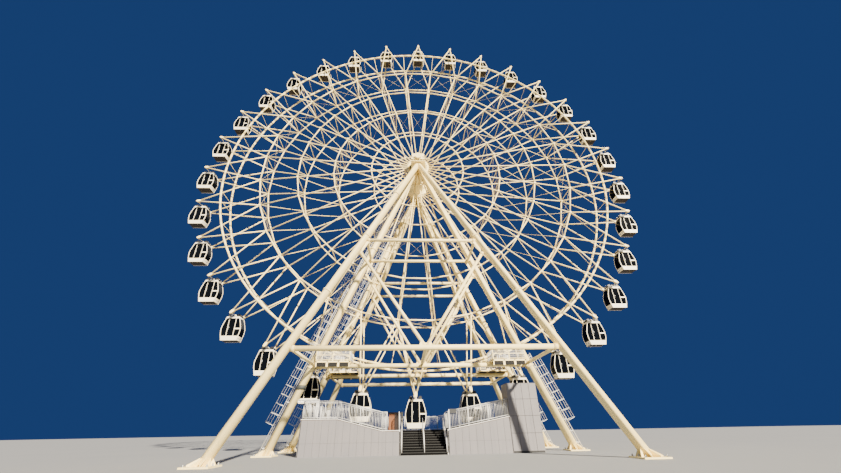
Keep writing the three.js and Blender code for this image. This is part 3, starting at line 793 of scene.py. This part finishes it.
# Bearing heads

head = {
    "halfWidth": 0.95, "inner": 2.8, "outer": 4.75, "above": 0.75, "below": 0.8, "plate": 0.09,
    "saddle": 0.42, "shadeInset": 0.16, "block": 0.85, "chamfer": 0.14, "cover": 0.44,
    "shadePatch": (0.62, 0.76, 0.34, 0.6), "ribs": (-0.62, -0.2, 0.2, 0.62), "ribThick": 0.05,
    "blocks": ((0.22, 0.5, 0.0), (0.5, 1.45, -0.05), (1.45, 1.73, 0.0)), "coverBolts": 12,
    "anchorX": (-0.9, 0.9), "anchorY": (0.12, 1.83), "nut": (0.045, 0.07), "stud": (0.025, 0.13),
}


def makeHead(sideY):
    shape, metal, shade = newShape(), newShape(), newShape()
    y0, y1 = sideY * head["inner"], sideY * head["outer"]
    wide, plate, inset = head["halfWidth"], head["plate"], head["shadeInset"]
    low, high = hubHeight - head["below"], hubHeight + head["above"]
    top = low + head["saddle"]
    # saddle over the leg tops: two plates with ribs between them
    for z in (low, top - plate):
        addBox(shape, (-wide, wide), (y0, y1), (z, z + plate))
    half, between = head["ribThick"] / 2, (low + plate, top - plate)
    # the dark box set between the plates is painted shade for the hollow of the saddle
    addBox(shade, (inset - wide, wide - inset), (y0 + sideY * inset, y1 - sideY * inset), between)
    for x in head["ribs"]:
        addBox(shape, (x - half, x + half), (y0 + sideY * 0.03, y1 - sideY * 0.03), between)
    # bearing block: a box with chamfered top corners, wider at its two end frames
    block, chamfer = head["block"], head["chamfer"]
    right = [(block, top), (block, high - chamfer), (block - chamfer, high)]
    outline = right + [(-x, z) for x, z in reversed(right)]
    for inner, outer, grow in head["blocks"]:
        points = [(x * (1 + grow), z + grow * (z - top)) for x, z in outline]
        addSlab(shape, points, y0 + sideY * inner, sideY * (outer - inner))
    # dark patches on the outer face beside the cover: painted shade for recesses
    near, far, foot, crown = head["shadePatch"]
    for side in (-1, 1):
        ys = (y0 + sideY * 1.7, y0 + sideY * 1.74)
        addBox(shade, (side * near, side * far), ys, (top + foot, top + crown))
    for x, y in product(head["anchorX"], head["anchorY"]):
        addAnchor(metal, Vector((x, y0 + sideY * y, top)), head["nut"], head["stud"], 10)
    # bearing covers: stepped discs with a ring of bolts
    cover = head["cover"]
    steps = [(cover + 0.08, 0.0), (cover + 0.08, 0.04), (cover, 0.06), (cover - 0.04, 0.1)]
    for near, out in ((y0 + sideY * 0.22, -sideY), (y0 + sideY * 1.73, sideY)):
        addTurned(shape, (0, near, hubHeight), (0, out, 0), steps, 40, smooth=False)
        for a in circle(head["coverBolts"], math.pi / head["coverBolts"]):
            x, z = (cover + 0.03) * math.cos(a), hubHeight + (cover + 0.03) * math.sin(a)
            addTube(metal, (x, near + out * 0.04, z), (x, near + out * 0.09, z), 0.03, 6, smooth=False)
    return joinParts((shape, creamEnamel), (metal, galvanised), (shade, blackPlasticAndShade))


for sideY, face in faceSides:
    finishPiece(f"{face}_head_box", softened(makeHead(sideY), 0.02), [f"{face}_bearing_head"])
print("heads made")

# Ties and braces

bracing = {"upperDrop": 15.23, "lowerDrop": 27.25, "braceDrop": 16.4, "upper": 0.168, "lower": 0.218,
           "brace": 0.148, "strutInward": 0.4, "endPlate": 0.06, "endThick": 0.05, "endPlates": (0.18, 0.26),
           "gusset": 0.05, "gussetX": (0.4, 0.75), "gussetDrop": 1.1, "gussetShare": 0.06,
           "node": [(-0.6, 0.05), (0.6, 0.05), (0.42, 0.5), (0.2, 0.38), (-0.2, 0.38), (-0.42, 0.5)]}


# A tube with a pair of round plates at each end that meets a leg; a cut of 0 leaves an end plain
def addTie(shape, start, end, radius, cutStart, cutEnd):
    along = (end - start).normalized()
    a, b = start + along * cutStart, end - along * cutEnd
    addTube(shape, a, b, radius, 20)
    for spot, way, cut in ((a, along, cutStart), (b, -along, cutEnd)):
        for offset in bracing["endPlates"] if cut > 0 else ():
            ends = [spot + way * (offset + more) for more in (0.0, bracing["endThick"])]
            addTube(shape, *ends, radius + bracing["endPlate"], 20)


def makeBracing(kind, sideY):
    shape, push = newShape(), Vector((0, bracing["gusset"], 0))
    radius, size = legs[kind]["radius"], bracing["brace"]
    upper, lower, start = bracing["upperDrop"], bracing["lowerDrop"], bracing["braceDrop"]

    def at(sideX, drop):
        return legPoint(kind, sideX, sideY, drop)

    for drop, tie in ((upper, "upper"), (lower, "lower")):
        addTie(shape, at(-1, drop), at(1, drop), bracing[tie], radius, radius)
    middle = at(0, lower)
    for sideX in (-1, 1):
        addTie(shape, at(sideX, start), middle, size, radius * 1.9, 0.0)
        # gusset plate between the leg, the upper tie and the brace
        inward, (near, far) = Vector((-sideX, 0, 0)), bracing["gussetX"]
        tie, side = at(sideX, upper), at(sideX, upper + bracing["gussetDrop"])
        onBrace = at(sideX, start).lerp(middle, bracing["gussetShare"])
        gusset = [tie + inward * near, tie + inward * far, onBrace, side + inward * (radius + 0.1)]
        addPrism(shape, [p - push / 2 for p in gusset], push)
        for drop in (upper, lower) if kind == "outer" else ():
            ends = [legPoint(leg, sideX, sideY, drop) for leg in ("outer", "inner")]
            addTie(shape, *[end + inward * bracing["strutInward"] for end in ends], size, 0.0, 0.2)
    if kind == "outer":
        addTie(shape, middle, legPoint("inner", 0, sideY, lower), size, 0.0, 0.24)
    # gusset plate where the V braces meet the lower tie
    addPrism(shape, [middle + Vector((x, 0, z)) - push / 2 for x, z in bracing["node"]], push)
    return makeMesh(shape, creamEnamel)


for (sideY, face), kind in product(faceSides, ("outer", "inner")):
    finishPiece(f"{face}_{kind}_ties", makeBracing(kind, sideY), [f"{face}_{kind}_bracing"])
print("bracing made")

# Drive stands

drive = {
    "near": 7.2, "far": 10.55, "walk": 2.1, "outer": 4.6, "slab": 0.14, "joist": 0.09, "joists": 4,
    "boards": 8, "bays": 3, "divider": 0.1, "bayDeep": 0.42, "railHeight": 1.1, "rail": 0.05, "post": 0.07,
    "wire": 0.012, "wireInset": 0.035, "motorNear": 8.0, "motorFar": 9.4, "fins": 5, "finGap": 0.22,
    "tyreRadius": 0.34, "tyreApart": 0.38, "axleRadius": 0.14, "railLevels": (0.08, 0.55), "ends": 20,
    "edges": 30, "levels": 6,
    "motor": [(0.24, 0.0), (0.26, 0.05), (0.26, 0.62), (0.2, 0.7), (0.08, 0.72)],
}


def makeDrive(sideX, sideY):
    steel, boards, dark, paint, rubber, casting, upright, level = [newShape() for _ in range(8)]
    under = hubHeight - bracing["lowerDrop"] + bracing["lower"] + 0.002
    floor = under + drive["slab"]
    top = floor + drive["railHeight"]

    # a box whose x and y limits are distances from the middle of the wheel
    def box(shape, xs, ys, zs):
        addBox(shape, [sideX * x for x in xs], [sideY * y for y in ys], zs)

    near, far, walk, outer = drive["near"], drive["far"], drive["walk"], drive["outer"]
    joist, rail, post, divider, deep = pick(drive, "joist rail post divider bayDeep")
    # light joists with dark boards laid over them, so that the underside shows dark bays
    for inner in (walk, outer - joist):
        box(steel, (near, far), (inner, inner + joist), (under, floor))
    for x in levels(near, far - joist, drive["joists"] - 1):
        box(steel, (x, x + joist), (walk, outer), (under + 0.004, floor - 0.004))
    for a, b in pairwise(levels(walk + joist, outer - joist, drive["boards"])):
        box(boards, (near + 0.04, far - 0.04), (a + 0.01, b - 0.01), (floor - 0.05, floor - 0.006))
    # railing: posts, and three rails along the outer edge and both ends
    for x in (near, (near + far) / 2, far - post):
        box(steel, (x, x + post), (outer - post, outer), (floor, top))
    bars = [(z, z + rail) for z in (*[floor + z for z in drive["railLevels"]], top - rail)]
    for x in (near, far - post):
        box(steel, (x, x + post), (walk, walk + post), (floor, top))
        for zs in bars:
            box(steel, (x + 0.01, x + 0.06), (walk, outer), zs)
    for zs in bars:
        box(steel, (near, far), (outer - 0.06, outer - 0.01), zs)
    # under the edge of the platform: dark bays between light dividers; the bays are painted shade for the
    # shaded underside of the platform
    stops = levels(near, far, drive["bays"])
    for a, b in pairwise(stops):
        zs = (under - deep + 0.03, under - 0.002)
        box(dark, (a + divider, b - divider), (outer - 0.05, outer - 0.012), zs)
    for x in stops:
        xs = (max(near, x - divider), min(far, x + divider))
        box(steel, xs, (outer - 0.045, outer - 0.007), (under - deep, under))
    # friction drive: motor, gearbox and the two tyres that press on the rim
    start, end = drive["motorNear"], drive["motorFar"]
    base = Vector((sideX * (start + end) / 2, sideY * 2.55, floor))
    box(paint, (start + 0.1, end - 0.1), (2.25, 2.95), (floor + 0.12, floor + 0.72))
    box(steel, (start, end), (2.15, 3.0), (floor, floor + 0.12))
    for i in range(drive["fins"]):
        x = start + 0.2 + i * drive["finGap"]
        box(casting, (x, x + 0.05), (2.2, 3.0), (floor + 0.12, floor + 0.76))
    addTurned(paint, base + Vector((0, sideY * 0.42, 0.42)), (0, sideY, 0), drive["motor"], 20)
    tyre = drive["tyreRadius"]
    profile = [(tyre - 0.18, 0.0), (tyre - 0.03, 0.02), (tyre, 0.07), (tyre, 0.15), (tyre - 0.03, 0.2),
               (tyre - 0.18, 0.22)]
    for offset in (-drive["tyreApart"], drive["tyreApart"]):
        spot = base + Vector((offset, -sideY * 0.72, 0.75))
        addTurned(rubber, spot, (0, sideY, 0), profile)
        ends = [spot + Vector((0, sideY * y, 0)) for y in (0.02, 0.5)]
        addTube(casting, *ends, drive["axleRadius"], 16)
    # woven wire in the railing: thin bars both ways
    x0, x1 = sorted((sideX * near, sideX * far))
    y0, y1 = sorted((sideY * walk, sideY * outer))
    inset, wire, low = drive["wireInset"], drive["wire"], floor + 0.1
    edge = sideY * (outer - inset)
    addTube(upright, (0, 0, 0), (0, 0, drive["railHeight"] - 0.15), wire, 4)
    meshes = [rowMesh(upright, (x0 + 0.1, edge, low), (x1 - 0.1, edge, low), drive["edges"])]
    addTube(level, (x0 + 0.05, edge, 0), (x1 - 0.05, edge, 0), wire, 4)
    for x in (x0 + inset, x1 - inset):
        meshes.append(rowMesh(upright, (x, y0 + 0.1, low), (x, y1 - 0.1, low), drive["ends"]))
        addTube(level, (x, y0 + 0.05, 0), (x, y1 - 0.05, 0), wire, 4)
    meshes.append(rowMesh(level, (0, 0, floor + 0.2), (0, 0, top - 0.12), drive["levels"]))
    return joinParts((steel, creamEnamel), (boards, darkBoards), (dark, paintedShadeBlack), (paint, whiteEnamel),
                     (rubber, blackRubber), (casting, primerCasting), *meshes)


for (sideY, face), (sideX, hand) in product(faceSides, handSides):
    finishPiece(f"{face}_{hand}_drive_unit", makeDrive(sideX, sideY), [f"{face}_{hand}_drive"])
print("drives made")

# Boarding deck, its walls, edge and guard rail

operator = {"xs": (-3.2, -2.15), "ys": (-4.6, -3.6), "top": 3.45, "eaves": 0.08, "lid": 0.12,
            "board": 0.13, "split": -2.68, "thick": 0.03, "seam": 0.004}

deck = {
    "left": -10.9, "right": 7.8, "leftSlope": (-3.7, -7.7), "rightSlope": (2.2, 7.8),
    "lowTop": 1.95, "highTop": 2.95, "front": 6.0, "channelHalf": 0.95, "endWallTop": 2.4,
    "stairHalf": 2.1, "stairRun": 2.9, "steps": 10,
    "panelWidth": 0.62, "panelGap": 0.015, "seam": (1.02, 1.03), "sheet": 0.03, "backing": 0.05, "plate": 0.1,
    "plateLines": (0.95, 2.0, 3.1, 4.5, 6.0), "plateLong": 1.25, "plateSeam": 0.006,
    "trim": 0.045, "line": 0.12, "trimThick": 0.02,
    "railHeight": 1.5, "railInset": 0.1, "barGap": 0.14, "queueGap": 0.28, "bar": 0.011, "barFoot": 0.12,
    "barHead": 0.16, "post": 0.032, "postGap": 1.9, "postFoot": 0.07,
    "queueLine": -4.4, "postHigh": 1.6, "sign": (0.23, 0.85, 1.28, 1.66),
}
stairHalf, stairBack, lowTop = deck["stairHalf"], deck["stairRun"] - deck["front"], deck["lowTop"]
deckBends = [deck["left"], deck["leftSlope"][1], deck["leftSlope"][0], -stairHalf, stairHalf,
             deck["rightSlope"][0], deck["right"]]


# Height of the deck: low beside the stair, a slope up to each end
def deckHeight(x):
    low, high = deck["leftSlope"] if x < 0 else deck["rightSlope"]
    return lowTop + (deck["highTop"] - lowTop) * min(max((x - low) / (high - low), 0), 1)


def deckStops(x0, x1, width):
    return levels(x0, x1, max(1, round((x1 - x0) / width)))


# Upright panels along X between two x limits, following the deck's edge above them
def addWallAlongX(sheets, backing, x0, x1, y, outwards):
    stops = deckStops(x0, x1, deck["panelWidth"])
    gap, inwards = deck["panelGap"], -outwards * deck["sheet"]
    for a, b in pairwise(stops):
        heights = [deckHeight(x) - deck["plate"] for x in (a + gap, b - gap)]
        for low, (left, right) in ((0.0, deck["seam"][:1] * 2), (deck["seam"][1], heights)):
            a1, b1 = a + gap / 2, b - gap / 2
            addSlab(sheets, [(a1, low), (b1, low), (b1, right), (a1, left)], y, inwards)
    edge = [(x, deckHeight(x) - deck["plate"]) for x in stops]
    addSlab(backing, [(x0, 0.0)] + edge + [(x1, 0.0)], y + inwards, -outwards * deck["backing"])


def addWallAlongY(sheets, backing, y0, y1, x, top, outwards):
    gap, inner = deck["panelGap"] / 2, x - outwards * deck["sheet"]
    for a, b in pairwise(deckStops(y0, y1, deck["panelWidth"])):
        for zs in ((0.0, deck["seam"][0]), (deck["seam"][1], top)):
            addBox(sheets, (x, inner), (a + gap, b - gap), zs)
    addBox(backing, (inner, inner - outwards * deck["backing"]), (y0, y1), (0.0, top))


def makeDeck():
    sheets, backing, plates, edge, trim, dark = [newShape() for _ in range(6)]
    left, right, front, channel, plate = pick(deck, "left right front channelHalf plate")
    high, ends = deck["highTop"] - plate, ((left, -1), (right, 1))
    for x0, x1, y, outwards in ((left, -stairHalf, -front, -1), (stairHalf, right, -front, -1),
                                (left, right, front, 1)):
        addWallAlongX(sheets, backing, x0, x1, y, outwards)
    for sideY in (-1, 1):
        addWallAlongX(sheets, backing, left, right, sideY * channel, -sideY)
        for x, outwards in ends:
            addWallAlongY(sheets, backing, *sorted((sideY * channel, sideY * front)), x, high, outwards)
    for x, outwards in ends:
        addWallAlongY(sheets, backing, -channel, channel, x, deck["endWallTop"], outwards)
    for sideX in (-1, 1):
        x = sideX * (stairHalf + 0.001)
        addWallAlongY(sheets, backing, 0.06 - front, stairBack, x, lowTop - plate, -sideX)
    addBox(backing, (-stairHalf, stairHalf), (stairBack + 0.001, stairBack + 0.05), (0, lowTop - plate))
    # walking surface: plates with open joints, on both sides of the channel and not over the stair
    seam = deck["plateSeam"]
    for sideY, (x0, x1) in product((-1, 1), pairwise(deckBends)):
        for (a, b), (near, far) in product(pairwise(deckStops(x0, x1, deck["plateLong"])),
                                           pairwise(deck["plateLines"])):
            if sideY < 0 and abs((a + b) / 2) < stairHalf and (near + far) / 2 > -stairBack:
                continue
            start, end, inner, outer = a + seam, b - seam, sideY * (near + seam), sideY * (far - seam)
            outline = [(start, inner), (end, inner), (end, outer), (start, outer)]
            addPrism(plates, [(x, y, deckHeight(x) - plate) for x, y in outline], (0, 0, plate))
    # along each long edge a thin white trim over a dark angle, which show as two lines over the wall
    for sideY, (x0, x1) in product((-1, 1), pairwise(deckBends)):
        if sideY > 0 or abs(x0 + x1) > 0.1:
            for target, above, below in ((trim, 0.0, deck["trim"]), (edge, deck["trim"], deck["line"])):
                outline = [(x0, deckHeight(x0) - above), (x1, deckHeight(x1) - above),
                           (x1, deckHeight(x1) - below), (x0, deckHeight(x0) - below)]
                addSlab(target, outline, sideY * (front - 0.002), -sideY * deck["trimThick"])
    # black post at the head of the stair, a blank plate on a light post, and trims down the wall's corners
    zs = (lowTop, lowTop + deck["postHigh"])
    addBox(backing, (0.02 - stairHalf, 0.22 - stairHalf), (stairBack - 0.02, stairBack + 0.16), zs)
    addBox(trim, (stairHalf + 0.13, stairHalf + 0.22), (0.004 - front, 0.1 - front), zs)
    near, far, low, crown = deck["sign"]
    zs = (lowTop + low, lowTop + crown)
    addBox(dark, (stairHalf + near, stairHalf + far), (0.01 - front, 0.06 - front), zs)
    for x in (-stairHalf - 0.09, stairHalf):
        addBox(trim, (x, x + 0.09), (-front, 0.04 - front), (0, lowTop - 0.002))
    return joinParts((sheets, sheetCladding), (backing, blackPlasticAndShade), (plates, chequerPlate),
                     (edge, brownSteel), (trim, whiteEnamel), (dark, darkPanel))


finishPiece("deck_walls", makeDeck(), ["boarding_deck"])


# Guard rail over a run of (x, y, height of the floor) points: top tube, foot rail, posts and upright bars
def railMeshes(points, gap=deck["barGap"]):
    height, foot, under = pick(deck, "railHeight barFoot barHead")
    tubes, bar, meshes = newShape(), newShape(), []
    addTube(bar, (0, 0, foot), (0, 0, height - under), deck["bar"], 6)
    runs = [(Vector(a), Vector(b)) for a, b in pairwise(points)]
    for a, b in runs:
        for level, size in ((height - 0.03, 0.03), (foot, 0.02), (height - under, 0.014)):
            addTube(tubes, a + up * level, b + up * level, size)
        count = max(2, round((b - a).xy.length / gap))
        share = 0.5 / count
        meshes.append(rowMesh(bar, a.lerp(b, share), a.lerp(b, 1 - share), count))
    for a, b in runs:
        for share in levels(0.0, 1.0, max(1, round((b - a).length / deck["postGap"]))):
            spot = a.lerp(b, share)
            addTube(tubes, spot, spot + up * (height - 0.02), deck["post"])
            addTube(tubes, spot, spot + up * 0.012, deck["postFoot"], 12)
    return meshes + [makeMesh(tubes, whiteEnamel)]


def edgeRun(x0, x1, y):
    bends = [x0] + [x for x in (*sorted(deck["leftSlope"]), *deck["rightSlope"]) if x0 < x < x1] + [x1]
    return [(x, y, deckHeight(x)) for x in bends]


def makeRails():
    inset, queue = deck["railInset"], deck["queueLine"]
    left, right, stairEdge = deck["left"] + inset, deck["right"] - inset, stairHalf + inset
    front = deck["front"] - inset
    runs = [edgeRun(left, operator["xs"][0] - 0.1, -front), edgeRun(stairEdge, right, -front),
            edgeRun(left, right, front)]
    # along the stair, on the left only as far as the operator's cabinet
    for x, end in ((-stairEdge, operator["ys"][0] - 0.12), (stairEdge, stairBack)):
        runs.append([(x, -front, lowTop), (x, end, lowTop)])
    for sideY, x in product((-1, 1), (left, right)):
        runs.append([(x, sideY * y, deckHeight(x)) for y in (front, 1.15)])
    meshes = [mesh for run in runs for mesh in railMeshes(run)]
    # queue rails behind the front ones, on both wings
    for x0, x1 in ((left + 0.1, deck["leftSlope"][0] + 0.2), (3.4, right - 0.1)):
        meshes += railMeshes(edgeRun(x0, x1, queue), deck["queueGap"])
    return joinParts(*meshes)


finishPiece("deck_rails", makeRails())
print("deck made")

# Stair

stair = {"nosing": 0.03, "tread": 0.05, "handrail": 1.0, "middleRail": 0.55, "rail": 0.035, "line": 0.03,
         "string": 0.06}


def makeStair():
    solid, nosing, rails = newShape(), newShape(), newShape()
    half, front, steps = stairHalf, deck["front"], deck["steps"]
    rise, going, lip = lowTop / steps, deck["stairRun"] / steps, stair["nosing"]
    for i in range(steps):
        y, z = i * going - front, (i + 1) * rise
        # riser sheet set back under each tread plate
        addBox(solid, (-half, half), (y + lip, y + lip + 0.02), (i * rise, z - stair["tread"]))
        addBox(solid, (-half, half), (y + 0.001, y + going + lip), (z - stair["tread"], z))
        addBox(nosing, (0.02 - half, half - 0.02), (y, y + 0.05), (z - stair["line"], z + 0.004))
    for x, string in ((0.01 - half, solid), (half - 0.07, rails)):
        outline = [(-front, 0.0), (0.02 - front, rise * 0.9), (stairBack, lowTop - 0.02), (stairBack, 0.0)]
        addPrism(string, [(x, y, z) for y, z in outline], (stair["string"], 0, 0))
    # middle and side handrails
    for x in (0.12 - half, 0.0, half - 0.12):
        low, high = Vector((x, 0.15 - front, rise)), Vector((x, stairBack - 0.1, lowTop))
        for level in (stair["handrail"], stair["middleRail"]):
            addTube(rails, low + up * level, high + up * level, stair["rail"])
        for share in levels(0.0, 1.0, 3):
            foot = low.lerp(high, share)
            addTube(rails, foot, foot + up * stair["handrail"], stair["rail"])
    return joinParts((solid, chequerPlate), (nosing, darkPanel), (rails, whiteEnamel))


finishPiece("stair_flight", makeStair(), ["front_stair"])
print("stair made")

# Cabinets and the beam beside the deck

cabinet = {"ys": (-6.0, -4.0), "top": 5.75, "seam": 0.01, "thick": 0.04,
           "rows": (0.15, 1.55, 2.95, 4.35, 5.75), "columns": (7.801, 8.5, 9.2, 9.9, 10.6),
           "louvres": 10, "louvreX": 8.3, "louvreLong": 0.7}


def makeCabinet():
    panels, core = newShape(), newShape()
    thick, seam, top, (y0, y1) = cabinet["thick"], cabinet["seam"], cabinet["top"], cabinet["ys"]
    x0, x1 = cabinet["columns"][0], cabinet["columns"][-1]
    addBox(core, (x0 + thick, x1 - thick), (y0 + thick, y1 - thick), (0, top - thick))
    for low, high in pairwise(cabinet["rows"]):
        zs = (low + seam, high - seam)
        for a, b in pairwise(cabinet["columns"]):
            for y in (y0, y1 - thick):
                addBox(panels, (a + seam, b - seam), (y, y + thick), zs)
        for x in (x0, x1 - thick):
            addBox(panels, (x, x + thick), (y0 + thick + 0.005, y1 - thick - 0.005), zs)
    addBox(panels, (x0, x1), (y0, y1), (top - thick, top))
    # louvres low on the back
    x = cabinet["louvreX"]
    for z in levels(0.6, 1.3, cabinet["louvres"])[:-1]:
        outline = [(x, y1, z), (x, y1, z + 0.05), (x, y1, z + 0.05), (x, y1 - 0.02, z)]
        addPrism(panels, outline, (cabinet["louvreLong"], 0, 0))
    return joinParts((panels, sheetCladding), (core, blackPlasticAndShade))


def makeOperator():
    pale, dark, core = newShape(), newShape(), newShape()
    (x0, x1), (y0, y1), thick, seam = pick(operator, "xs ys thick seam")
    low, top, eaves = lowTop + 0.001, operator["top"] - operator["lid"], operator["eaves"]
    addBox(core, (x0 + thick, x1 - thick), (y0 + thick, y1 - thick), (low, top))
    # upright boards, pale on the left half and dark on the door half
    zs = (low + 0.03, top)
    for y, (a, b) in product((y0, y1 - thick), pairwise(deckStops(x0, x1, operator["board"]))):
        boards = pale if (a + b) / 2 < operator["split"] else dark
        addBox(boards, (a + seam, b - seam), (y, y + thick), zs)
    for x, boards in ((x0, pale), (x1 - thick, dark)):
        for a, b in pairwise(deckStops(y0 + thick, y1 - thick, operator["board"])):
            addBox(boards, (x, x + thick), (a + seam, b - seam), zs)
    addBox(dark, (x0 - eaves, x1 + eaves), (y0 - eaves, y1 + eaves), (top, operator["top"]))
    return joinParts((pale, stainedBoards), (dark, darkBoards), (core, blackPlasticAndShade))


finishPiece("equipment_panels", softened(makeCabinet(), 0.008), ["equipment_cabinet"])
finishPiece("operator_boards", softened(makeOperator(), 0.006), ["operator_cabinet"])

landing = {"level": 4.63, "half": 0.12, "xs": (-12.07, -10.0), "y": -3.555, "web": 0.03, "stiffeners": 4,
           "stiffener": 0.015, "foot": 0.06}


# Beam from the leg to a post on the deck: an I section with stiffeners, and the post the same
def makeLanding():
    shape = newShape()
    half, web, level, y, (x0, x1) = pick(landing, "half web level y xs")
    y0, y1, z0, z1 = y - half, y + half, level - half, level + half
    addBox(shape, (x0, x1), (y - web / 2, y + web / 2), (z0, z1))
    for z in (z0, z1 - web):
        addBox(shape, (x0, x1), (y0, y1), (z, z + web))
    for x in levels(x0 + 0.3, x1 - 2 * half - 0.1, landing["stiffeners"] - 1):
        addBox(shape, (x - landing["stiffener"], x + landing["stiffener"]), (y0 + 0.01, y1 - 0.01),
               (z0 + web, z1 - web))
    foot, middle, wide = deck["highTop"] + 0.001, x1 - half, landing["foot"]
    zs = (foot, z0 - 0.001)
    addBox(shape, (middle - web / 2, middle + web / 2), (y0 + web, y1 - web), zs)
    for edge in (y0, y1 - web):
        addBox(shape, (x1 - 2 * half, x1), (edge, edge + web), zs)
    addBox(shape, (x1 - 2 * half - wide, x1 + wide), (y0 - wide, y1 + wide), (foot, foot + 0.03))
    return makeMesh(shape, whiteEnamel)


finishPiece("landing_channel", makeLanding(), ["side_landing_beam"])
print("cabinets made")

# Caged ladders

ladder = {
    "plane": 0.6, "half": 0.27, "stringer": 0.03, "rung": 0.3, "rungRadius": 0.011,
    "cageHalf": 0.36, "reach": 1.5, "hoop": 0.83, "strap": 0.021, "cageBar": 0.014,
    "tops": (3.4, 26.4), "cageEnd": 32.8, "firstHoop": 0.6, "firstRung": 0.2, "bracket": 0.03, "brackets": 9,
}


def makeLadder(sideX, sideY, topDrop):
    shape, hoop, rung = newShape(), newShape(), newShape()
    along = (legPoint("inner", sideX, sideY, 1) - legPoint("inner", sideX, sideY, 0)).normalized()
    outwards = Vector((0, -sideX, 0)).cross(along)
    end, cageEnd = hubHeight + 0.1, ladder["cageEnd"]

    def offset(distance, across):
        return outwards * distance + Vector((0, across, 0))

    # a place beside the leg: distance from its middle line, and how far across
    def beside(drop, distance=0.0, across=0.0):
        return legPoint("inner", sideX, sideY, drop) + offset(distance, across)

    half, plane, reach, cageHalf = pick(ladder, "half plane reach cageHalf")
    for y in (-half, half):
        addTube(shape, beside(topDrop, plane, y), beside(end, plane, y), ladder["stringer"], 8)
    for drop, y in product(levels(topDrop + 0.3, end - 0.6, ladder["brackets"] - 1), (-half, half)):
        addTube(shape, beside(drop, 0.25, y * 0.6), beside(drop, plane, y), ladder["bracket"], 6)
    rungs, first = int((end - topDrop) / ladder["rung"]) - 1, topDrop + ladder["firstRung"]
    addTube(rung, offset(plane, -half), offset(plane, half), ladder["rungRadius"], 6)
    meshes = [rowMesh(rung, beside(first), beside(first + (rungs - 1) * ladder["rung"]), rungs)]
    # safety cage: straight sides and a round back
    bend = reach - cageHalf
    arc = [(bend + cageHalf * math.sin(a), -cageHalf * math.cos(a)) for a in levels(0.0, math.pi, 6)]
    for a, b in pairwise([(plane, -cageHalf)] + arc + [(plane, cageHalf)]):
        addTube(hoop, offset(*a), offset(*b), ladder["strap"], 6)
    first = topDrop + ladder["firstHoop"]
    hoops = round((cageEnd - first) / ladder["hoop"]) + 1
    meshes.append(rowMesh(hoop, beside(first), beside(cageEnd), hoops))
    for place in ((bend, -cageHalf), (bend, cageHalf), (reach, 0.0)):
        addTube(shape, beside(first, *place), beside(cageEnd, *place), ladder["cageBar"], 6)
    return joinParts((shape, whiteEnamel), *meshes)


for (sideY, face), ((sideX, hand), top) in product(faceSides, zip(handSides, ladder["tops"])):
    # the two back ladders have no solid of their own
    replaced = [f"{hand}_ladder"] if sideY < 0 else ()
    finishPiece(f"{face}_{hand}_ladder_cage", makeLadder(sideX, sideY, top), replaced)
print("ladders made")

# Floor, light and camera


def makeStage():
    # pale poured floor: matt, with clouds of tone some 7 m across
    material, tree, place = startMaterial("paleFloor")
    tone = blend(tree, noise(tree, place, 0.15, 3.0), "#888b8f", "#7f8388")
    endMaterial(material, {"Base Color": tone, "Roughness": 0.9})
    shape, half = newShape(), 800
    addFaces(shape, [(-half, -half, 0), (half, -half, 0), (half, half, 0), (-half, half, 0)], [(0, 1, 2, 3)])
    addObject("stage_floor", makeMesh(shape, material))
    world = bpy.data.worlds.new("studio")
    world.use_nodes = True
    plug(world.node_tree, world.node_tree.nodes["Background"], {"Color": "#34579c", "Strength": 0.5})
    bpy.context.scene.world = world
    # each lamp: tilt and heading in degrees, strength, colour, angle of its disc
    for name, tilt, heading, energy, colour, spread in (
            ("key", 62.3, 28.8, 19.5, "#fff0d6", 2), ("fill", 65, -55, 0.4, "#dfe9ff", 40),
            ("rim", 60, 160, 0.4, "#ffffff", 30)):
        lamp = bpy.data.lights.new(name, "SUN")
        lamp.energy, lamp.angle, lamp.color = energy, math.radians(spread), linear(colour)[:3]
        addObject(name, lamp).rotation_euler = (math.radians(tilt), 0, math.radians(heading))


def makeCamera():
    # fitted to the photograph: position in metres of the model, turn in degrees, lens and centre in pixels
    place, focal, centre, (width, height) = (-0.8205, -19.899, 0.898), 341.71, (419.1, 257.4), (841, 473)
    yaw, pitch, roll = [math.radians(angle) for angle in (-2.501, 27.03, -1.038)]
    forward = Vector((-math.sin(yaw) * math.cos(pitch), math.cos(yaw) * math.cos(pitch), math.sin(pitch)))
    right = Vector((math.cos(yaw), math.sin(yaw), 0))
    above = right.cross(forward)
    turnedRight = right * math.cos(roll) + above * math.sin(roll)
    turnedUp = above * math.cos(roll) - right * math.sin(roll)
    lens = bpy.data.cameras.new("camera")
    camera = addObject("camera", lens)
    basis = Matrix((turnedRight, turnedUp, -forward)).transposed().to_4x4()
    camera.matrix_world = Matrix.Translation(place) @ basis
    lens.sensor_width, lens.lens, lens.clip_end = 36, focal / width * 36, 2000
    lens.shift_x, lens.shift_y = (width / 2 - centre[0]) / width, (centre[1] - height / 2) / width
    bpy.context.scene.camera = camera


makeStage()
makeCamera()
print("stage and camera made")
